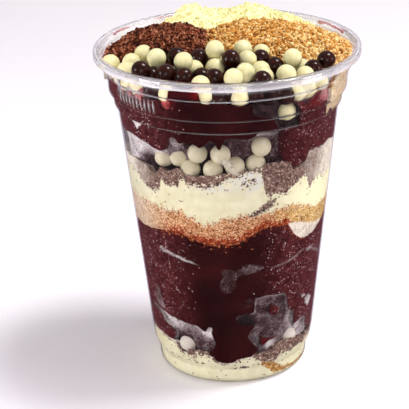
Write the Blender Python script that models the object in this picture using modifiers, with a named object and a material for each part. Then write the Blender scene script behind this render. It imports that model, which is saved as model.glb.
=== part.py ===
"""Acai cup: a clear thermoformed tumbler filled in layers and heaped over its lip.

From the foot up it holds milk powder, cocoa crumbs, a ring of crisp balls, frozen acai
pulp, peanut crumbs, milk powder, cocoa crumbs, a second ring of balls and more acai. Four
heaps stand on top: balls in front, cocoa crumbs left, peanut crumbs right, milk powder
behind. Every layer runs through the cup and its edge is as wavy as the spooned food.

Sizes are in millimetres, and new_object() turns them into metres. The origin is the centre
of the foot on the table and +Z is up. An azimuth is in degrees from the front of the cup,
which faces -Y, and grows towards +X.
"""

import math

import bmesh
import bpy
import numpy as np
from mathutils import Matrix

MM = 0.001

# Cup: radii and heights of its outside
SEGMENTS = 40
WALL = 0.6
FLOOR = 1.8
RECESS_RADIUS, RECESS_HEIGHT = 19.0, 1.2
FOOT_RADIUS, FOOT_CORNER = 23.6, 3.9
LEDGE_RADIUS, LEDGE_HEIGHT = 27.6, 6.2
SHOULDER_BEND = (29.0, 8.8)
SHOULDER_RADIUS, SHOULDER_HEIGHT = 29.8, 12.0
NECK_RADIUS, NECK_HEIGHT = 39.6, 101.0
RING_LOW = [(40.7, 101.9), (41.15, 105.8)]
RING_MIDDLE = [(42.5, 106.8), (43.1, 112.9)]
RING_HIGH = [(44.0, 113.8), (45.2, 118.3)]
LIP_RADIUS, CUP_HEIGHT = 47.5, 121.5
LIP_DEPTH, LIP_CORNER, LIP_INNER_RADIUS = 2.8, 0.7, 45.8

# Grip ribs between the middle and the high ring, in two groups on opposite sides
RIB_GROUPS = [-49.0, 131.0]
RIBS_A_GROUP, RIB_SPACING = 10, 2.5
RIB_SIZE, RIB_LENGTH, RIB_HEIGHT = 0.75, 4.6, 109.9

# Food: the clearance that touching pieces keep, and the crisp balls' size
GAP = 0.3
WALL_WINDOW = 1.2
BALL_RADIUS, BALL_SIDES, BALL_BANDS = 3.55, 8, 5
BALL_TURN, BALL_TILT = 137.5, 61.0
BALL_COVER = 0.85

# Each wavy boundary: its height at the wall, then (azimuth, half width, rise) of its waves
BASE_POWDER_TOP = (9.4, [(-62, 15, 5.0), (0, 14, -0.6), (60, 16, 2.0), (150, 20, 3.0), (215, 16, -1.0)])
BASE_COCOA_DEPTH = (1.6, [(-30, 12, 2.6), (0, 11, -0.6), (38, 20, 3.2), (115, 20, 2.5), (225, 24, 2.8)])
BASE_POCKETS = (0.4, [(-33, 15, 10), (27, 13, 18), (50, 9, 6), (120, 16, 11), (168, 11, 14), (225, 18, 9)])
LOWER_ACAI_TOP = (60.5, [(-25, 8, 1.0), (-8, 11, -2.2), (24, 10, 3.5), (51, 9, -4.5), (100, 20, 2.0),
                         (150, 16, -2.5), (200, 14, 2.0), (245, 14, -2.0)])
PEANUT_TOP = (69.5, [(-50, 14, 1.0), (-13, 12, -3.0), (30, 12, 2.0), (60, 12, -3.0), (110, 18, 2.0),
                     (165, 14, -2.5), (215, 16, 1.5), (255, 12, -2.0)])
POWDER_TOP = (79.5, [(-46, 9, -2.5), (-8, 16, 4.5), (22, 9, -4.0), (50, 9, -2.5), (66, 9, -3.0),
                     (100, 14, 2.0), (140, 12, -3.0), (190, 16, 2.0), (235, 14, -2.5)])
COCOA_TOP = (86.0, [(-50, 12, -2.0), (-20, 14, -1.8), (22, 9, 2.5), (58, 14, 4.5), (105, 16, -1.0),
                    (150, 14, 2.0), (200, 16, -1.5), (250, 16, 1.5)])
UPPER_ACAI_FOOT = (98.0, [(-65, 14, -3.0), (-41, 7, -4.5), (15, 12, 3.5), (37, 9, -12.5), (58, 12, -6.0),
                          (100, 12, -4.0), (132, 8, -8.0), (165, 14, 2.0), (202, 9, -9.0), (262, 10, -4.0)])
UPPER_ACAI_TOP = (113.0, [(0, 16, 0.8), (21, 9, -5.0), (45, 10, -3.5), (68, 16, -7.5), (120, 20, 1.0),
                          (200, 30, 0.8)])

# Levels inside, where the layers are flat, and the drums that carry the two rings of balls
BASE_POWDER_LEVEL, COCOA_LEAST = 9.5, 0.9
FLAT_SHARE = 0.55
LOWER_DRUM_RADIUS, LOWER_DRUM = 23.8, (13.4, 21.8)
UPPER_DRUM_RADIUS, UPPER_DRUM = 33.0, (84.0, 98.0)
DRUM_STEP, DRUM_SIDES = 0.9, 24
TOPPING_FLOOR = 113.3
LOWER_BALLS = [(-31, 17.0), (39, 18.4), (112, 18.0), (130, 17.2), (166, 18.6), (212, 17.4), (228, 17.8)]
UPPER_BALLS = [(-72, 90.5), (-35, 90.4), (-25, 92.3), (-20, 87.8), (-14.5, 93.6), (-7.5, 89.0), (-4, 94.6),
               (3.5, 90.4), (12, 91.2), (15, 97.0), (90, 91.0), (114, 90.0), (152, 92.0), (168, 92.5),
               (224, 90.0), (240, 91.0)]

# Heaps: plan outline from front to back, (crown, centre x, centre y, reach x, reach y), and bumps
HEAP_TOP_LIMIT, HEAP_FOOT = 140.0, 98.0
HEAP_FALL, HEAP_POWER = 8.0, 3.0
OUTSIDE = 60.0
SPREAD = 1.2
FRONT_LEFT, FRONT_MIDDLE, FRONT_RIGHT = (-OUTSIDE, -2.0), (-5.5, -10.4), (OUTSIDE, -10.4)
BACK_LEFT, BACK_MIDDLE, BACK_RIGHT = (-OUTSIDE, 22.0), (-7.0, 9.0), (OUTSIDE, 30.0)
COCOA_MOUND = (125.8, -17.0, 3.0, 29.0, 18.0)
PEANUT_MOUND = (126.2, 8.0, 4.0, 36.0, 20.0)
POWDER_MOUND = (125.3, 2.0, 22.0, 34.0, 25.0)
HEAP_EDGE = 118.0
POWDER_PEAKS = [(-13.0, 21.0, 7.0, 4.0), (9.0, 23.0, 8.0, 2.0)]
BALL_MOUND_CROWN, BALL_MOUND_SAG = 124.6, 0.0042
BALL_SINK = 2.2
CRUMB_GRID, POWDER_GRID, CORE_GRID = 3.4, 4.42, 9.0
CRUMB_BUMP, POWDER_BUMP, POWDER_STRETCH = 0.55, 0.7, 0.6

# Plan positions (x, y) of the balls that lie on the front heap, row by row towards the lip
HEAP_BALLS = [
    (-4, -15), (6, -15), (13, -17), (23, -17.5), (-16, -17), (-24, -13), (-31, -9), (34, -14.5),
    (-10, -19), (1, -21), (8, -22), (13, -24), (-16, -23), (-34, -14), (-4, -24), (17, -26),
    (26, -24), (30, -21), (-23, -21), (-29, -20), (-11, -28), (-5, -30), (6, -30), (11, -31),
    (20, -30), (27, -30), (33, -20), (-40, -8.5), (-35, -19), (-21, -28), (-26, -27), (-15, -31),
    (-9, -35), (-4, -35), (2, -35), (7, -37), (12, -36), (18, -35), (-17, -34),
]
SETTLE_ROUNDS = 120
WALL_BALL_HEIGHT = 115.2
WALL_BALLS = [-64, -46, -28, -10, 5, 30]

COLOURS = {
    "clear_plastic": ((0.90, 0.89, 0.93), 0.12),
    "milk_powder": ((0.91, 0.87, 0.68), 0.90),
    "cocoa": ((0.20, 0.09, 0.06), 0.85),
    "peanut": ((0.70, 0.42, 0.20), 0.80),
    "acai": ((0.12, 0.02, 0.04), 0.45),
    "candy_shell": ((0.85, 0.80, 0.62), 0.35),
}


def clear_scene():
    """Remove every object that is already in the file."""
    for item in list(bpy.data.objects):
        bpy.data.objects.remove(item, do_unlink=True)


def new_collection(name):
    """A collection of the scene."""
    collection = bpy.data.collections.new(name)
    bpy.context.scene.collection.children.link(collection)
    return collection


def finish_of(name):
    """The material of this name, made once from its colour and roughness."""
    if name in bpy.data.materials:
        return bpy.data.materials[name]
    colour, roughness = COLOURS[name]
    material = bpy.data.materials.new(name)
    material.use_nodes = True
    shader = material.node_tree.nodes["Principled BSDF"]
    shader.inputs["Base Color"].default_value = (*colour, 1.0)
    shader.inputs["Roughness"].default_value = roughness
    shader.inputs["Metallic"].default_value = 0.0
    return material


def new_object(name, shape, finish, collection):
    """An object from a bmesh in millimetres."""
    bmesh.ops.scale(shape, vec=(MM, MM, MM), verts=shape.verts)
    mesh = bpy.data.meshes.new(name)
    shape.to_mesh(mesh)
    shape.free()
    mesh.materials.append(finish_of(finish))
    item = bpy.data.objects.new(name, mesh)
    collection.objects.link(item)
    return item


def apply_modifiers(item):
    """Put the evaluated shape into the object's own mesh."""
    evaluated = item.evaluated_get(bpy.context.evaluated_depsgraph_get())
    mesh = bpy.data.meshes.new_from_object(evaluated)
    item.modifiers.clear()
    item.data = mesh


def smooth(item, angle=40):
    """Smooth shading with sharp edges above the angle in degrees."""
    item.data.shade_smooth()
    item.data.set_sharp_from_angle(angle=math.radians(angle))


def combine(item, operation, other, solver="EXACT"):
    """Join, cut or trim an object with one object or a whole collection, which then go."""
    boolean = item.modifiers.new("combine", "BOOLEAN")
    boolean.operation = operation
    boolean.solver = solver
    if isinstance(other, bpy.types.Collection):
        boolean.operand_type = "COLLECTION"
        boolean.collection = other
        used = list(other.objects)
    else:
        boolean.object = other
        used = [other]
    apply_modifiers(item)
    for thing in used:
        bpy.data.objects.remove(thing, do_unlink=True)


def on_circle(azimuth, radius, height):
    """The point at an azimuth, a radius and a height."""
    angle = math.radians(azimuth)
    return (radius * math.sin(angle), -radius * math.cos(angle), height)


def arc(centre, radius, start, end, points):
    """Points of an arc in the (radius, height) plane, between two angles in degrees."""
    angles = [math.radians(start + (end - start) * i / (points - 1)) for i in range(points)]
    return [(centre[0] + radius * math.cos(a), centre[1] + radius * math.sin(a)) for a in angles]


# The cup


def outer_wall():
    """(radius, height) points up the outside, from the foot to the neck of the lip."""
    corner = arc((FOOT_RADIUS, FOOT_CORNER), FOOT_CORNER, -90, 0, 4)
    shoulder = [(LEDGE_RADIUS, LEDGE_HEIGHT), SHOULDER_BEND, (SHOULDER_RADIUS, SHOULDER_HEIGHT)]
    return corner + shoulder + [(NECK_RADIUS, NECK_HEIGHT), *RING_LOW, *RING_MIDDLE, *RING_HIGH]


def inner_wall():
    """(radius, height) points up the inside, a wall's thickness in from the outside."""
    inside = [(radius - WALL, height + WALL / 2) for radius, height in outer_wall() if height > FLOOR]
    return [(FOOT_RADIUS, FLOOR)] + inside


def food_radius(height):
    """How far out food may reach at a height, a gap clear of the narrowest wall near it."""
    radii, heights = zip(*inner_wall())
    near = (height - WALL_WINDOW, height, height + WALL_WINDOW)
    return float(np.interp(near, heights, radii).min()) - GAP


def make_cup(collection):
    """The tumbler: one profile turned about the axis, with grip ribs fused on."""
    lip_top, lip_foot = CUP_HEIGHT - LIP_CORNER, CUP_HEIGHT - LIP_DEPTH
    outer_edge = LIP_RADIUS - LIP_CORNER
    lip = [
        (LIP_INNER_RADIUS, lip_top),
        (LIP_INNER_RADIUS + LIP_CORNER, CUP_HEIGHT),
        *arc((outer_edge, lip_top), LIP_CORNER, 90, 0, 3),
        (LIP_RADIUS, lip_foot + LIP_CORNER),
        (outer_edge, lip_foot),
        (RING_HIGH[1][0] + WALL, lip_foot),
    ]
    foot = [(RECESS_RADIUS, 0.0), (RECESS_RADIUS - RECESS_HEIGHT, RECESS_HEIGHT), (0.0, RECESS_HEIGHT)]
    profile = [(0.0, FLOOR)] + inner_wall() + lip + outer_wall()[::-1] + foot
    shape = bmesh.new()
    points = [shape.verts.new((radius, 0.0, height)) for radius, height in profile]
    for start, end in zip(points, points[1:]):
        shape.edges.new((start, end))
    cup = new_object("cup", shape, "clear_plastic", collection)
    turn = cup.modifiers.new("turn", "SCREW")
    turn.steps = turn.render_steps = SEGMENTS
    turn.use_merge_vertices = True
    turn.merge_threshold = 0.00001
    apply_modifiers(cup)
    combine(cup, "UNION", make_ribs())
    smooth(cup)
    return cup


def make_ribs():
    """Upright three-sided ribs, sunk in the wall between two rings with one edge out."""
    ribs = new_collection("ribs")
    radius = (RING_MIDDLE[0][0] + RING_MIDDLE[1][0]) / 2
    for middle in RIB_GROUPS:
        for i in range(RIBS_A_GROUP):
            azimuth = middle + (i - (RIBS_A_GROUP - 1) / 2) * RIB_SPACING
            shape = bmesh.new()
            bmesh.ops.create_cone(shape, cap_ends=True, segments=3, radius1=RIB_SIZE,
                                  radius2=RIB_SIZE, depth=RIB_LENGTH)
            shape.verts.ensure_lookup_table()
            edge = math.atan2(shape.verts[0].co.y, shape.verts[0].co.x)
            turn = Matrix.Rotation(math.radians(azimuth - 90) - edge, 4, "Z")
            bmesh.ops.transform(shape, matrix=turn, verts=shape.verts)
            bmesh.ops.translate(shape, vec=on_circle(azimuth, radius, RIB_HEIGHT), verts=shape.verts)
            new_object("rib", shape, "clear_plastic", ribs)
    return ribs


# The layers


def turned(angle):
    """An angle brought between -180 and 180 degrees."""
    return (angle + 180) % 360 - 180


def wave(boundary, azimuth):
    """Height of a wavy boundary at the wall: its level and the sum of its bell-shaped waves."""
    level, waves = boundary
    return level + sum(rise * math.exp(-((turned(azimuth - middle) / width) ** 2))
                       for middle, width, rise in waves)


def base_cocoa_top(azimuth):
    """Top of the lower cocoa crumbs, which lie in patches on the base powder."""
    return wave(BASE_POWDER_TOP, azimuth) + max(wave(BASE_COCOA_DEPTH, azimuth), COCOA_LEAST)


def cocoa_top(azimuth):
    """Top of the upper cocoa crumbs."""
    return wave(COCOA_TOP, azimuth)


def seated(balls, drum, floor):
    """Balls of a ring, lifted clear of the layer under them and kept within the drum's height."""
    low, high = drum[0] + BALL_RADIUS, drum[1] - BALL_COVER * BALL_RADIUS
    step = 360 / SEGMENTS
    places = []
    for azimuth, height in balls:
        seat = max(floor(azimuth + shift) for shift in (-step, 0, step)) + BALL_RADIUS + GAP
        places.append((azimuth, min(max(height, seat, low), high)))
    return places


def over_balls(balls, azimuth):
    """How high acai has to stay at an azimuth to clear the balls near it."""
    near = math.degrees(BALL_RADIUS / LOWER_DRUM_RADIUS) + 360 / SEGMENTS
    tops = [height for middle, height in balls if abs(turned(azimuth - middle)) < near]
    return max(tops, default=0.0) + BALL_RADIUS + GAP


def lower_acai_foot(azimuth):
    """Lower edge of the lower acai, which runs down between its air pockets."""
    edge = base_cocoa_top(azimuth) + max(wave(BASE_POCKETS, azimuth), 0.0)
    return max(edge, over_balls(seated(LOWER_BALLS, LOWER_DRUM, base_cocoa_top), azimuth))


def upper_acai_foot(azimuth):
    """Lower edge of the upper acai, which hangs in lobes above the cocoa crumbs."""
    edge = max(wave(UPPER_ACAI_FOOT, azimuth), cocoa_top(azimuth) + GAP)
    return max(edge, over_balls(seated(UPPER_BALLS, UPPER_DRUM, cocoa_top), azimuth))


def waved(boundary):
    """A boundary as a function of azimuth."""
    return lambda azimuth: wave(boundary, azimuth)


def plain_sheet(level, edge):
    """Rings of a boundary that is flat in the middle: radius from the wall's, then height."""
    return [(FLAT_SHARE, lambda azimuth: level), (1.0, edge)]


def stepped_sheet(level, drum_radius, edge):
    """Rings of a boundary that is flat over a drum and follows the edge all round it."""
    return [(drum_radius, lambda azimuth: level), (drum_radius + DRUM_STEP, edge), (1.0, edge)]


def make_layer(name, finish, collection, floor, roof, rows=()):
    """A layer between two boundaries, with rows of points where the wall it lies against bends.

    The rings run out along the floor, up the wall and back in along the roof. A ring's
    radius up to 1 is a share of the wall's. Both boundaries give up half the gap.
    """
    shape = bmesh.new()
    azimuths = [360 * k / SEGMENTS for k in range(SEGMENTS)]

    def ring(share, height_at, shift):
        points = []
        for azimuth in azimuths:
            height = height_at(azimuth) + shift
            radius = share if share > 1 else share * food_radius(height)
            points.append(shape.verts.new(on_circle(azimuth, radius, height)))
        return points

    def between(row):
        low, high = floor[-1][1], roof[-1][1]
        order = rows.index(row)
        return lambda azimuth: min(max(row, low(azimuth) + GAP * (order + 2)),
                                   high(azimuth) - GAP * (len(rows) - order + 1))

    rings = [ring(share, edge, GAP / 2) for share, edge in floor]
    rings += [ring(1.0, between(row), 0.0) for row in rows]
    rings += [ring(share, edge, -GAP / 2) for share, edge in reversed(roof)]
    for low, high in zip(rings, rings[1:]):
        for k in range(SEGMENTS):
            after = (k + 1) % SEGMENTS
            shape.faces.new((low[k], low[after], high[after], high[k]))
    for ends, height in ((rings[0][::-1], floor[0][1](0) + GAP / 2), (rings[-1], roof[0][1](0) - GAP / 2)):
        centre = shape.verts.new((0.0, 0.0, height))
        for k in range(SEGMENTS):
            shape.faces.new((ends[k], ends[(k + 1) % SEGMENTS], centre))
    bmesh.ops.triangulate(shape, faces=shape.faces, quad_method="SHORT_EDGE")
    layer = new_object(name, shape, finish, collection)
    smooth(layer)
    return layer


def ball_reach(height):
    """How far out a ball's centre may lie at a height."""
    return food_radius(height) - BALL_RADIUS - GAP


def make_ball(centre, turn, collection):
    """One crisp ball with few sides, turned so that no two lie alike."""
    shape = bmesh.new()
    bmesh.ops.create_uvsphere(shape, u_segments=BALL_SIDES, v_segments=BALL_BANDS, radius=BALL_RADIUS)
    angle, tilt = math.radians(turn * BALL_TURN), math.radians(turn * BALL_TILT)
    for corner in shape.verts:
        x, y, z = corner.co
        x, y = x * math.cos(angle) - y * math.sin(angle), x * math.sin(angle) + y * math.cos(angle)
        y, z = y * math.cos(tilt) - z * math.sin(tilt), y * math.sin(tilt) + z * math.cos(tilt)
        corner.co = (x + centre[0], y + centre[1], z + centre[2])
    return new_object("ball", shape, "candy_shell", collection)


def make_ball_ring(name, collection, radius, heights, balls):
    """A drum of packed balls, with the ones that show at the wall fused round it."""
    low, high = heights
    shape = bmesh.new()
    bmesh.ops.create_cone(shape, cap_ends=True, cap_tris=True, segments=DRUM_SIDES,
                          radius1=radius, radius2=radius, depth=high - low)
    bmesh.ops.translate(shape, vec=(0, 0, (low + high) / 2), verts=shape.verts)
    drum = new_object(name, shape, "candy_shell", collection)
    loose = new_collection(name + "_loose")
    for i, (azimuth, height) in enumerate(balls):
        make_ball(on_circle(azimuth, ball_reach(height), height), i + 1, loose)
    combine(drum, "UNION", loose, "MANIFOLD")
    return drum


# The heaps


def mound(x, y, crown, centre_x, centre_y, reach_x, reach_y):
    """Height of a heap: flat on top, falling ever faster and level again along the wall."""
    away = math.hypot((x - centre_x) / reach_x, (y - centre_y) / reach_y)
    return max(crown - HEAP_FALL * away ** HEAP_POWER, HEAP_EDGE)


def bumps(x, y, size):
    """Uneven crumbs: three crossing ripples with no common period."""
    ripples = math.sin(1.9 * x + 0.7 * y) + math.sin(2.3 * y - 0.9 * x) + math.sin(0.157 * x * y)
    return size * ripples / 2


def cocoa_height(x, y):
    """Top of the cocoa crumbs."""
    return mound(x, y, *COCOA_MOUND) + bumps(x, y, CRUMB_BUMP)


def peanut_height(x, y):
    """Top of the peanut crumbs."""
    return mound(x, y, *PEANUT_MOUND) + bumps(x + 3, y, CRUMB_BUMP)


def powder_height(x, y):
    """Top of the milk powder, with its two peaks."""
    height = mound(x, y, *POWDER_MOUND) + bumps(x * POWDER_STRETCH, y * POWDER_STRETCH, POWDER_BUMP)
    for peak_x, peak_y, width, rise in POWDER_PEAKS:
        height += rise * math.exp(-(((x - peak_x) ** 2 + (y - peak_y) ** 2) / width ** 2))
    return height


def ball_height(x, y):
    """Height of a ball's centre on the front heap."""
    return BALL_MOUND_CROWN - BALL_MOUND_SAG * (x * x + y * y)


def make_heap(name, finish, collection, front, back, height_at, step):
    """A heap between a front and a back line in plan, cut to the room over the acai.

    A grid is stretched between the two lines, with a column at their bend, lifted to the
    heap's height and closed underneath. The room is the inside of the cup above the acai.
    """
    share = [i / (len(front) - 1) for i in range(len(front))]
    across, deep = plan_size(front, back)
    columns, rows = 2 * round(across / step / 2), round(deep / step)
    shape = bmesh.new()
    grid = []
    for i in range(columns + 1):
        u = i / columns
        near = [np.interp(u, share, [p[axis] for p in front]) for axis in (0, 1)]
        far = [np.interp(u, share, [p[axis] for p in back]) for axis in (0, 1)]
        line = []
        for j in range(rows + 1):
            v = j / rows
            x, y = (near[axis] + (far[axis] - near[axis]) * v for axis in (0, 1))
            top = height_at(x, y)
            line.append((shape.verts.new((x, y, top)), shape.verts.new((x, y, HEAP_FOOT))))
        grid.append(line)
    for i in range(columns):
        for j in range(rows):
            square = [(i, j), (i + 1, j), (i + 1, j + 1), (i, j + 1)]
            shape.faces.new([grid[a][b][0] for a, b in square])
            shape.faces.new([grid[a][b][1] for a, b in square[::-1]])
    rim = [(i, 0) for i in range(columns)] + [(columns, j) for j in range(rows)]
    rim += [(i, rows) for i in range(columns, 0, -1)] + [(0, j) for j in range(rows, 0, -1)]
    for (a, b), (c, d) in zip(rim, rim[1:] + rim[:1]):
        shape.faces.new((grid[a][b][1], grid[c][d][1], grid[c][d][0], grid[a][b][0]))
    heap = new_object(name, shape, finish, collection)
    combine(heap, "INTERSECT", make_room(collection))
    return heap


def plan_size(front, back):
    """Length of the front line and the distance between the two lines, in the cup only."""
    reach = 2 * LIP_RADIUS
    across = min(reach, front[-1][0] - front[0][0])
    deep = min(reach / 2, abs(back[-1][1] - front[-1][1]))
    return across * SPREAD, deep


def make_room(collection):
    """The space over the upper acai, a gap clear of it and of the wall."""
    top = plain_sheet(HEAP_TOP_LIMIT, lambda azimuth: HEAP_TOP_LIMIT)
    bottom = plain_sheet(TOPPING_FLOOR, waved(UPPER_ACAI_TOP))
    heights = [height + WALL / 2 for _, height in RING_MIDDLE + RING_HIGH]
    return make_layer("room", "clear_plastic", collection, bottom, top, heights)


def settle(plan):
    """Slide balls on the front heap apart until none cross, off the wall and the other heaps."""
    plan = np.array(plan, dtype=float)
    for _ in range(SETTLE_ROUNDS):
        places = np.column_stack((plan, ball_height(*plan.T)))
        apart = places[:, None] - places[None]
        distance = np.linalg.norm(apart, axis=2)
        np.fill_diagonal(distance, 2 * BALL_RADIUS)
        push = np.clip(2 * BALL_RADIUS / distance - 1, 0, None) / 3
        plan += (apart[..., :2] * push[..., None]).sum(axis=1)
        reach = np.array([ball_reach(height) for height in places[:, 2]])
        plan *= np.minimum(1, reach / np.hypot(*plan.T))[:, None]
        plan[:, 1] = np.minimum(plan[:, 1], back_line(plan[:, 0]) - BALL_RADIUS - GAP)
    return [(x, y, ball_height(x, y)) for x, y in plan]


def clear_of(places, others):
    """The places where a ball doesn't sink deep into any of the others."""
    return [place for place in places
            if all(math.dist(place, other) > 2 * BALL_RADIUS - GAP for other in others)]


def back_line(x):
    """Where the front heap ends towards the crumbs, in plan."""
    line = (FRONT_LEFT, FRONT_MIDDLE, FRONT_RIGHT)
    return np.interp(x, [p[0] for p in line], [p[1] for p in line])


def make_ball_heap(collection):
    """The front heap: a bare mound with the balls that show fused on."""
    front = [(-OUTSIDE, -OUTSIDE), (FRONT_MIDDLE[0], -OUTSIDE), (OUTSIDE, -OUTSIDE)]
    back = [(x, y - GAP) for x, y in (FRONT_LEFT, FRONT_MIDDLE, FRONT_RIGHT)]
    heap = make_heap("ball_heap", "candy_shell", collection, front, back,
                     lambda x, y: max(ball_height(x, y), HEAP_EDGE - BALL_RADIUS) - BALL_SINK, CORE_GRID)
    loose = new_collection("ball_heap_loose")
    upper = settle(HEAP_BALLS)
    reach = ball_reach(WALL_BALL_HEIGHT)
    lower = [on_circle(azimuth, reach, WALL_BALL_HEIGHT) for azimuth in WALL_BALLS]
    for i, centre in enumerate(upper + clear_of(lower, upper)):
        make_ball(centre, i + 1, loose)
    combine(heap, "UNION", loose, "MANIFOLD")
    return heap


def make_heaps(collection):
    """The four toppings."""
    make_ball_heap(collection)
    half = GAP / 2
    seam_front, seam_back = FRONT_MIDDLE[0], BACK_MIDDLE[0]
    make_heap("cocoa_heap", "cocoa", collection, [FRONT_LEFT, (seam_front - half, FRONT_MIDDLE[1])],
              [BACK_LEFT, (seam_back - half, BACK_MIDDLE[1])], cocoa_height, CRUMB_GRID)
    make_heap("peanut_heap", "peanut", collection, [(seam_front + half, FRONT_MIDDLE[1]), FRONT_RIGHT],
              [(seam_back + half, BACK_MIDDLE[1]), BACK_RIGHT], peanut_height, CRUMB_GRID)
    front = [(x, y + GAP) for x, y in (BACK_LEFT, BACK_MIDDLE, BACK_RIGHT)]
    back = [(x, OUTSIDE) for x, _ in front]
    make_heap("powder_heap", "milk_powder", collection, front, back, powder_height, POWDER_GRID)


def make_layers(collection):
    """The layers from the foot up."""
    lower_step, upper_step = LOWER_DRUM_RADIUS + GAP, UPPER_DRUM_RADIUS + GAP
    low, high = LOWER_DRUM
    base_top = stepped_sheet(BASE_POWDER_LEVEL, lower_step, waved(BASE_POWDER_TOP))
    base_cocoa_roof = stepped_sheet(low - GAP / 2, lower_step, base_cocoa_top)
    lower_acai_floor = stepped_sheet(high + GAP / 2, lower_step, lower_acai_foot)
    lower_acai_roof = plain_sheet(LOWER_ACAI_TOP[0], waved(LOWER_ACAI_TOP))
    peanut_roof = plain_sheet(PEANUT_TOP[0], waved(PEANUT_TOP))
    powder_roof = plain_sheet(POWDER_TOP[0], waved(POWDER_TOP))
    low, high = UPPER_DRUM
    cocoa_roof = stepped_sheet(low - GAP / 2, upper_step, cocoa_top)
    upper_acai_floor = stepped_sheet(high + GAP / 2, upper_step, upper_acai_foot)
    upper_acai_roof = plain_sheet(TOPPING_FLOOR, waved(UPPER_ACAI_TOP))
    floor_height = FLOOR + GAP / 2
    base_floor = [(FOOT_RADIUS, lambda azimuth: floor_height)]
    wall_bends = [height for _, height in inner_wall() if FLOOR < height < BASE_POWDER_TOP[0] - 1.5]
    make_layer("base_milk_powder", "milk_powder", collection, base_floor, base_top, wall_bends)
    make_layer("base_cocoa_crumbs", "cocoa", collection, base_top, base_cocoa_roof)
    make_ball_ring("lower_balls", collection, LOWER_DRUM_RADIUS, LOWER_DRUM,
                   seated(LOWER_BALLS, LOWER_DRUM, base_cocoa_top))
    make_layer("lower_acai", "acai", collection, lower_acai_floor, lower_acai_roof)
    make_layer("peanut_crumbs", "peanut", collection, lower_acai_roof, peanut_roof)
    make_layer("milk_powder", "milk_powder", collection, peanut_roof, powder_roof)
    make_layer("cocoa_crumbs", "cocoa", collection, powder_roof, cocoa_roof)
    make_ball_ring("upper_balls", collection, UPPER_DRUM_RADIUS, UPPER_DRUM,
                   seated(UPPER_BALLS, UPPER_DRUM, cocoa_top))
    neck_bends = [height for _, height in inner_wall() if NECK_HEIGHT < height < TOPPING_FLOOR]
    make_layer("upper_acai", "acai", collection, upper_acai_floor, upper_acai_roof, neck_bends)


def main():
    """Build the whole cup."""
    clear_scene()
    collection = new_collection("acai_cup")
    make_cup(collection)
    make_layers(collection)
    make_heaps(collection)


main()
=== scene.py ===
"""Looks of a layered acai cup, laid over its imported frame.

Shapes are worked out in millimetres and turned into metres when a mesh is made. An azimuth is in
degrees from the front of the cup, which faces -Y, towards +X. A place on the wall is (azimuth, height).
"""

import math

import bmesh
import bpy
import numpy as np
from mathutils import Matrix


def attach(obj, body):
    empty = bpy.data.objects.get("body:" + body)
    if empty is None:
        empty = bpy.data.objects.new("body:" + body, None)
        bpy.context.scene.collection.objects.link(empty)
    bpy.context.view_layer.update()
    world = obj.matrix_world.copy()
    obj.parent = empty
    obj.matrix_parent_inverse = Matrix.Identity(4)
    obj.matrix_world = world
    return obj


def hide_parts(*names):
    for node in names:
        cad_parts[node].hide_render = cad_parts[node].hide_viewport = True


bl_info = {
    "name": "Acai Cup",
    "version": (1, 0, 0),
    "blender": (4, 5, 0),
    "location": "3D View > Sidebar > Acai Cup",
    "description": "Builds a clear cup of layered acai with its toppings",
    "category": "Add Mesh",
}

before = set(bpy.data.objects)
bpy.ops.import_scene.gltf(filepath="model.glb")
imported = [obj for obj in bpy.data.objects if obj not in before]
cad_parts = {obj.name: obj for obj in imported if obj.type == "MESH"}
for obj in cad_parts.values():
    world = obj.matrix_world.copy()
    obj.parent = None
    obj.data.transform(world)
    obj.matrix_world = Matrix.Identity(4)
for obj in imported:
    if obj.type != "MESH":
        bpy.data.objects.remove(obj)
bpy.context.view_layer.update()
MM = 0.001
FULL_TURN = 360.0

# The cup's outline, from the middle of the recess under the foot to the inside of the lip:
# (radius, height, how far along each edge the corner is rounded)
CUP_OUTSIDE = [
    (17.6, 1.2, 0.4), (19.2, 0.0, 0.5), (27.5, 0.0, 3.8), (27.6, 6.0, 0.5), (29.0, 8.6, 1.2),
    (29.8, 12.0, 1.5), (39.6, 101.0, 0.35), (40.7, 101.8, 0.45), (41.15, 105.8, 0.5), (42.5, 106.7, 0.5),
    (43.1, 113.4, 0.5), (44.0, 114.3, 0.45), (45.2, 118.3, 0.3), (45.7, 118.7, 0.3),
]
CUP_LIP = [
    (46.1, 120.9, 0.3), (46.9, 120.9, 0.3), (47.0, 118.7, 0.2), (47.5, 118.7, 0.2), (47.5, 121.5, 1.0),
    (45.5, 121.5, 0.7),
]
CUP_FLOOR, FOOT_FLOOR, FOOT_ROUND = 1.8, 0.7, 3.2
WALL, RIB = 0.6, 0.5

# Points of an arc and the most of an edge that it takes, and the grid of the cup: degrees between its
# columns, columns across a rib, and the longest step of its profile
ARC_POINTS, ARC_REACH = 5, 0.48
CUP_COLUMN, RIB_COLUMNS = 1.0, 6
CUP_ROW = 3.0

# Two groups of grip ribs, by the azimuth of their middle
RIB_GROUPS = [-47.5, 132.5]
RIB_COUNT, RIB_SPACING = 10, 2.55
RIB_LOW, RIB_HIGH, RIB_END = 107.9, 112.3, 0.5

# Cloudiness of the clear wall: at its bends as (height, cloudiness), where thin lines of it also paint the
# bright highlights along the rings; on the ribs; and on the lip, more towards the cup's sides, where it
# paints a glancing sheen
BEND_CLOUD_AND_HIGHLIGHTS, BEND_HEIGHT = [(101.7, 0.15), (106.5, 0.15), (114.1, 0.3), (118.7, 0.3)], 0.2
RIB_CLOUD, LIP_CLOUD, LIP_SIDE_SHEEN = 0.5, 0.05, 0.11
LIP_HEIGHTS = (118.2, 118.9)

# How far food reaches into the wall, so that no air shows, the grid of its side, the share of its
# radius from which its top and foot lie level, and its fine grain, as (size, share of the radius)
REACH = 0.15
FOOD_COLUMNS = 640
FOOD_ROW = 0.5
INNER_SHARE = 0.6
SIDE_GRAIN = (1.8, 0.0015)

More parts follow.
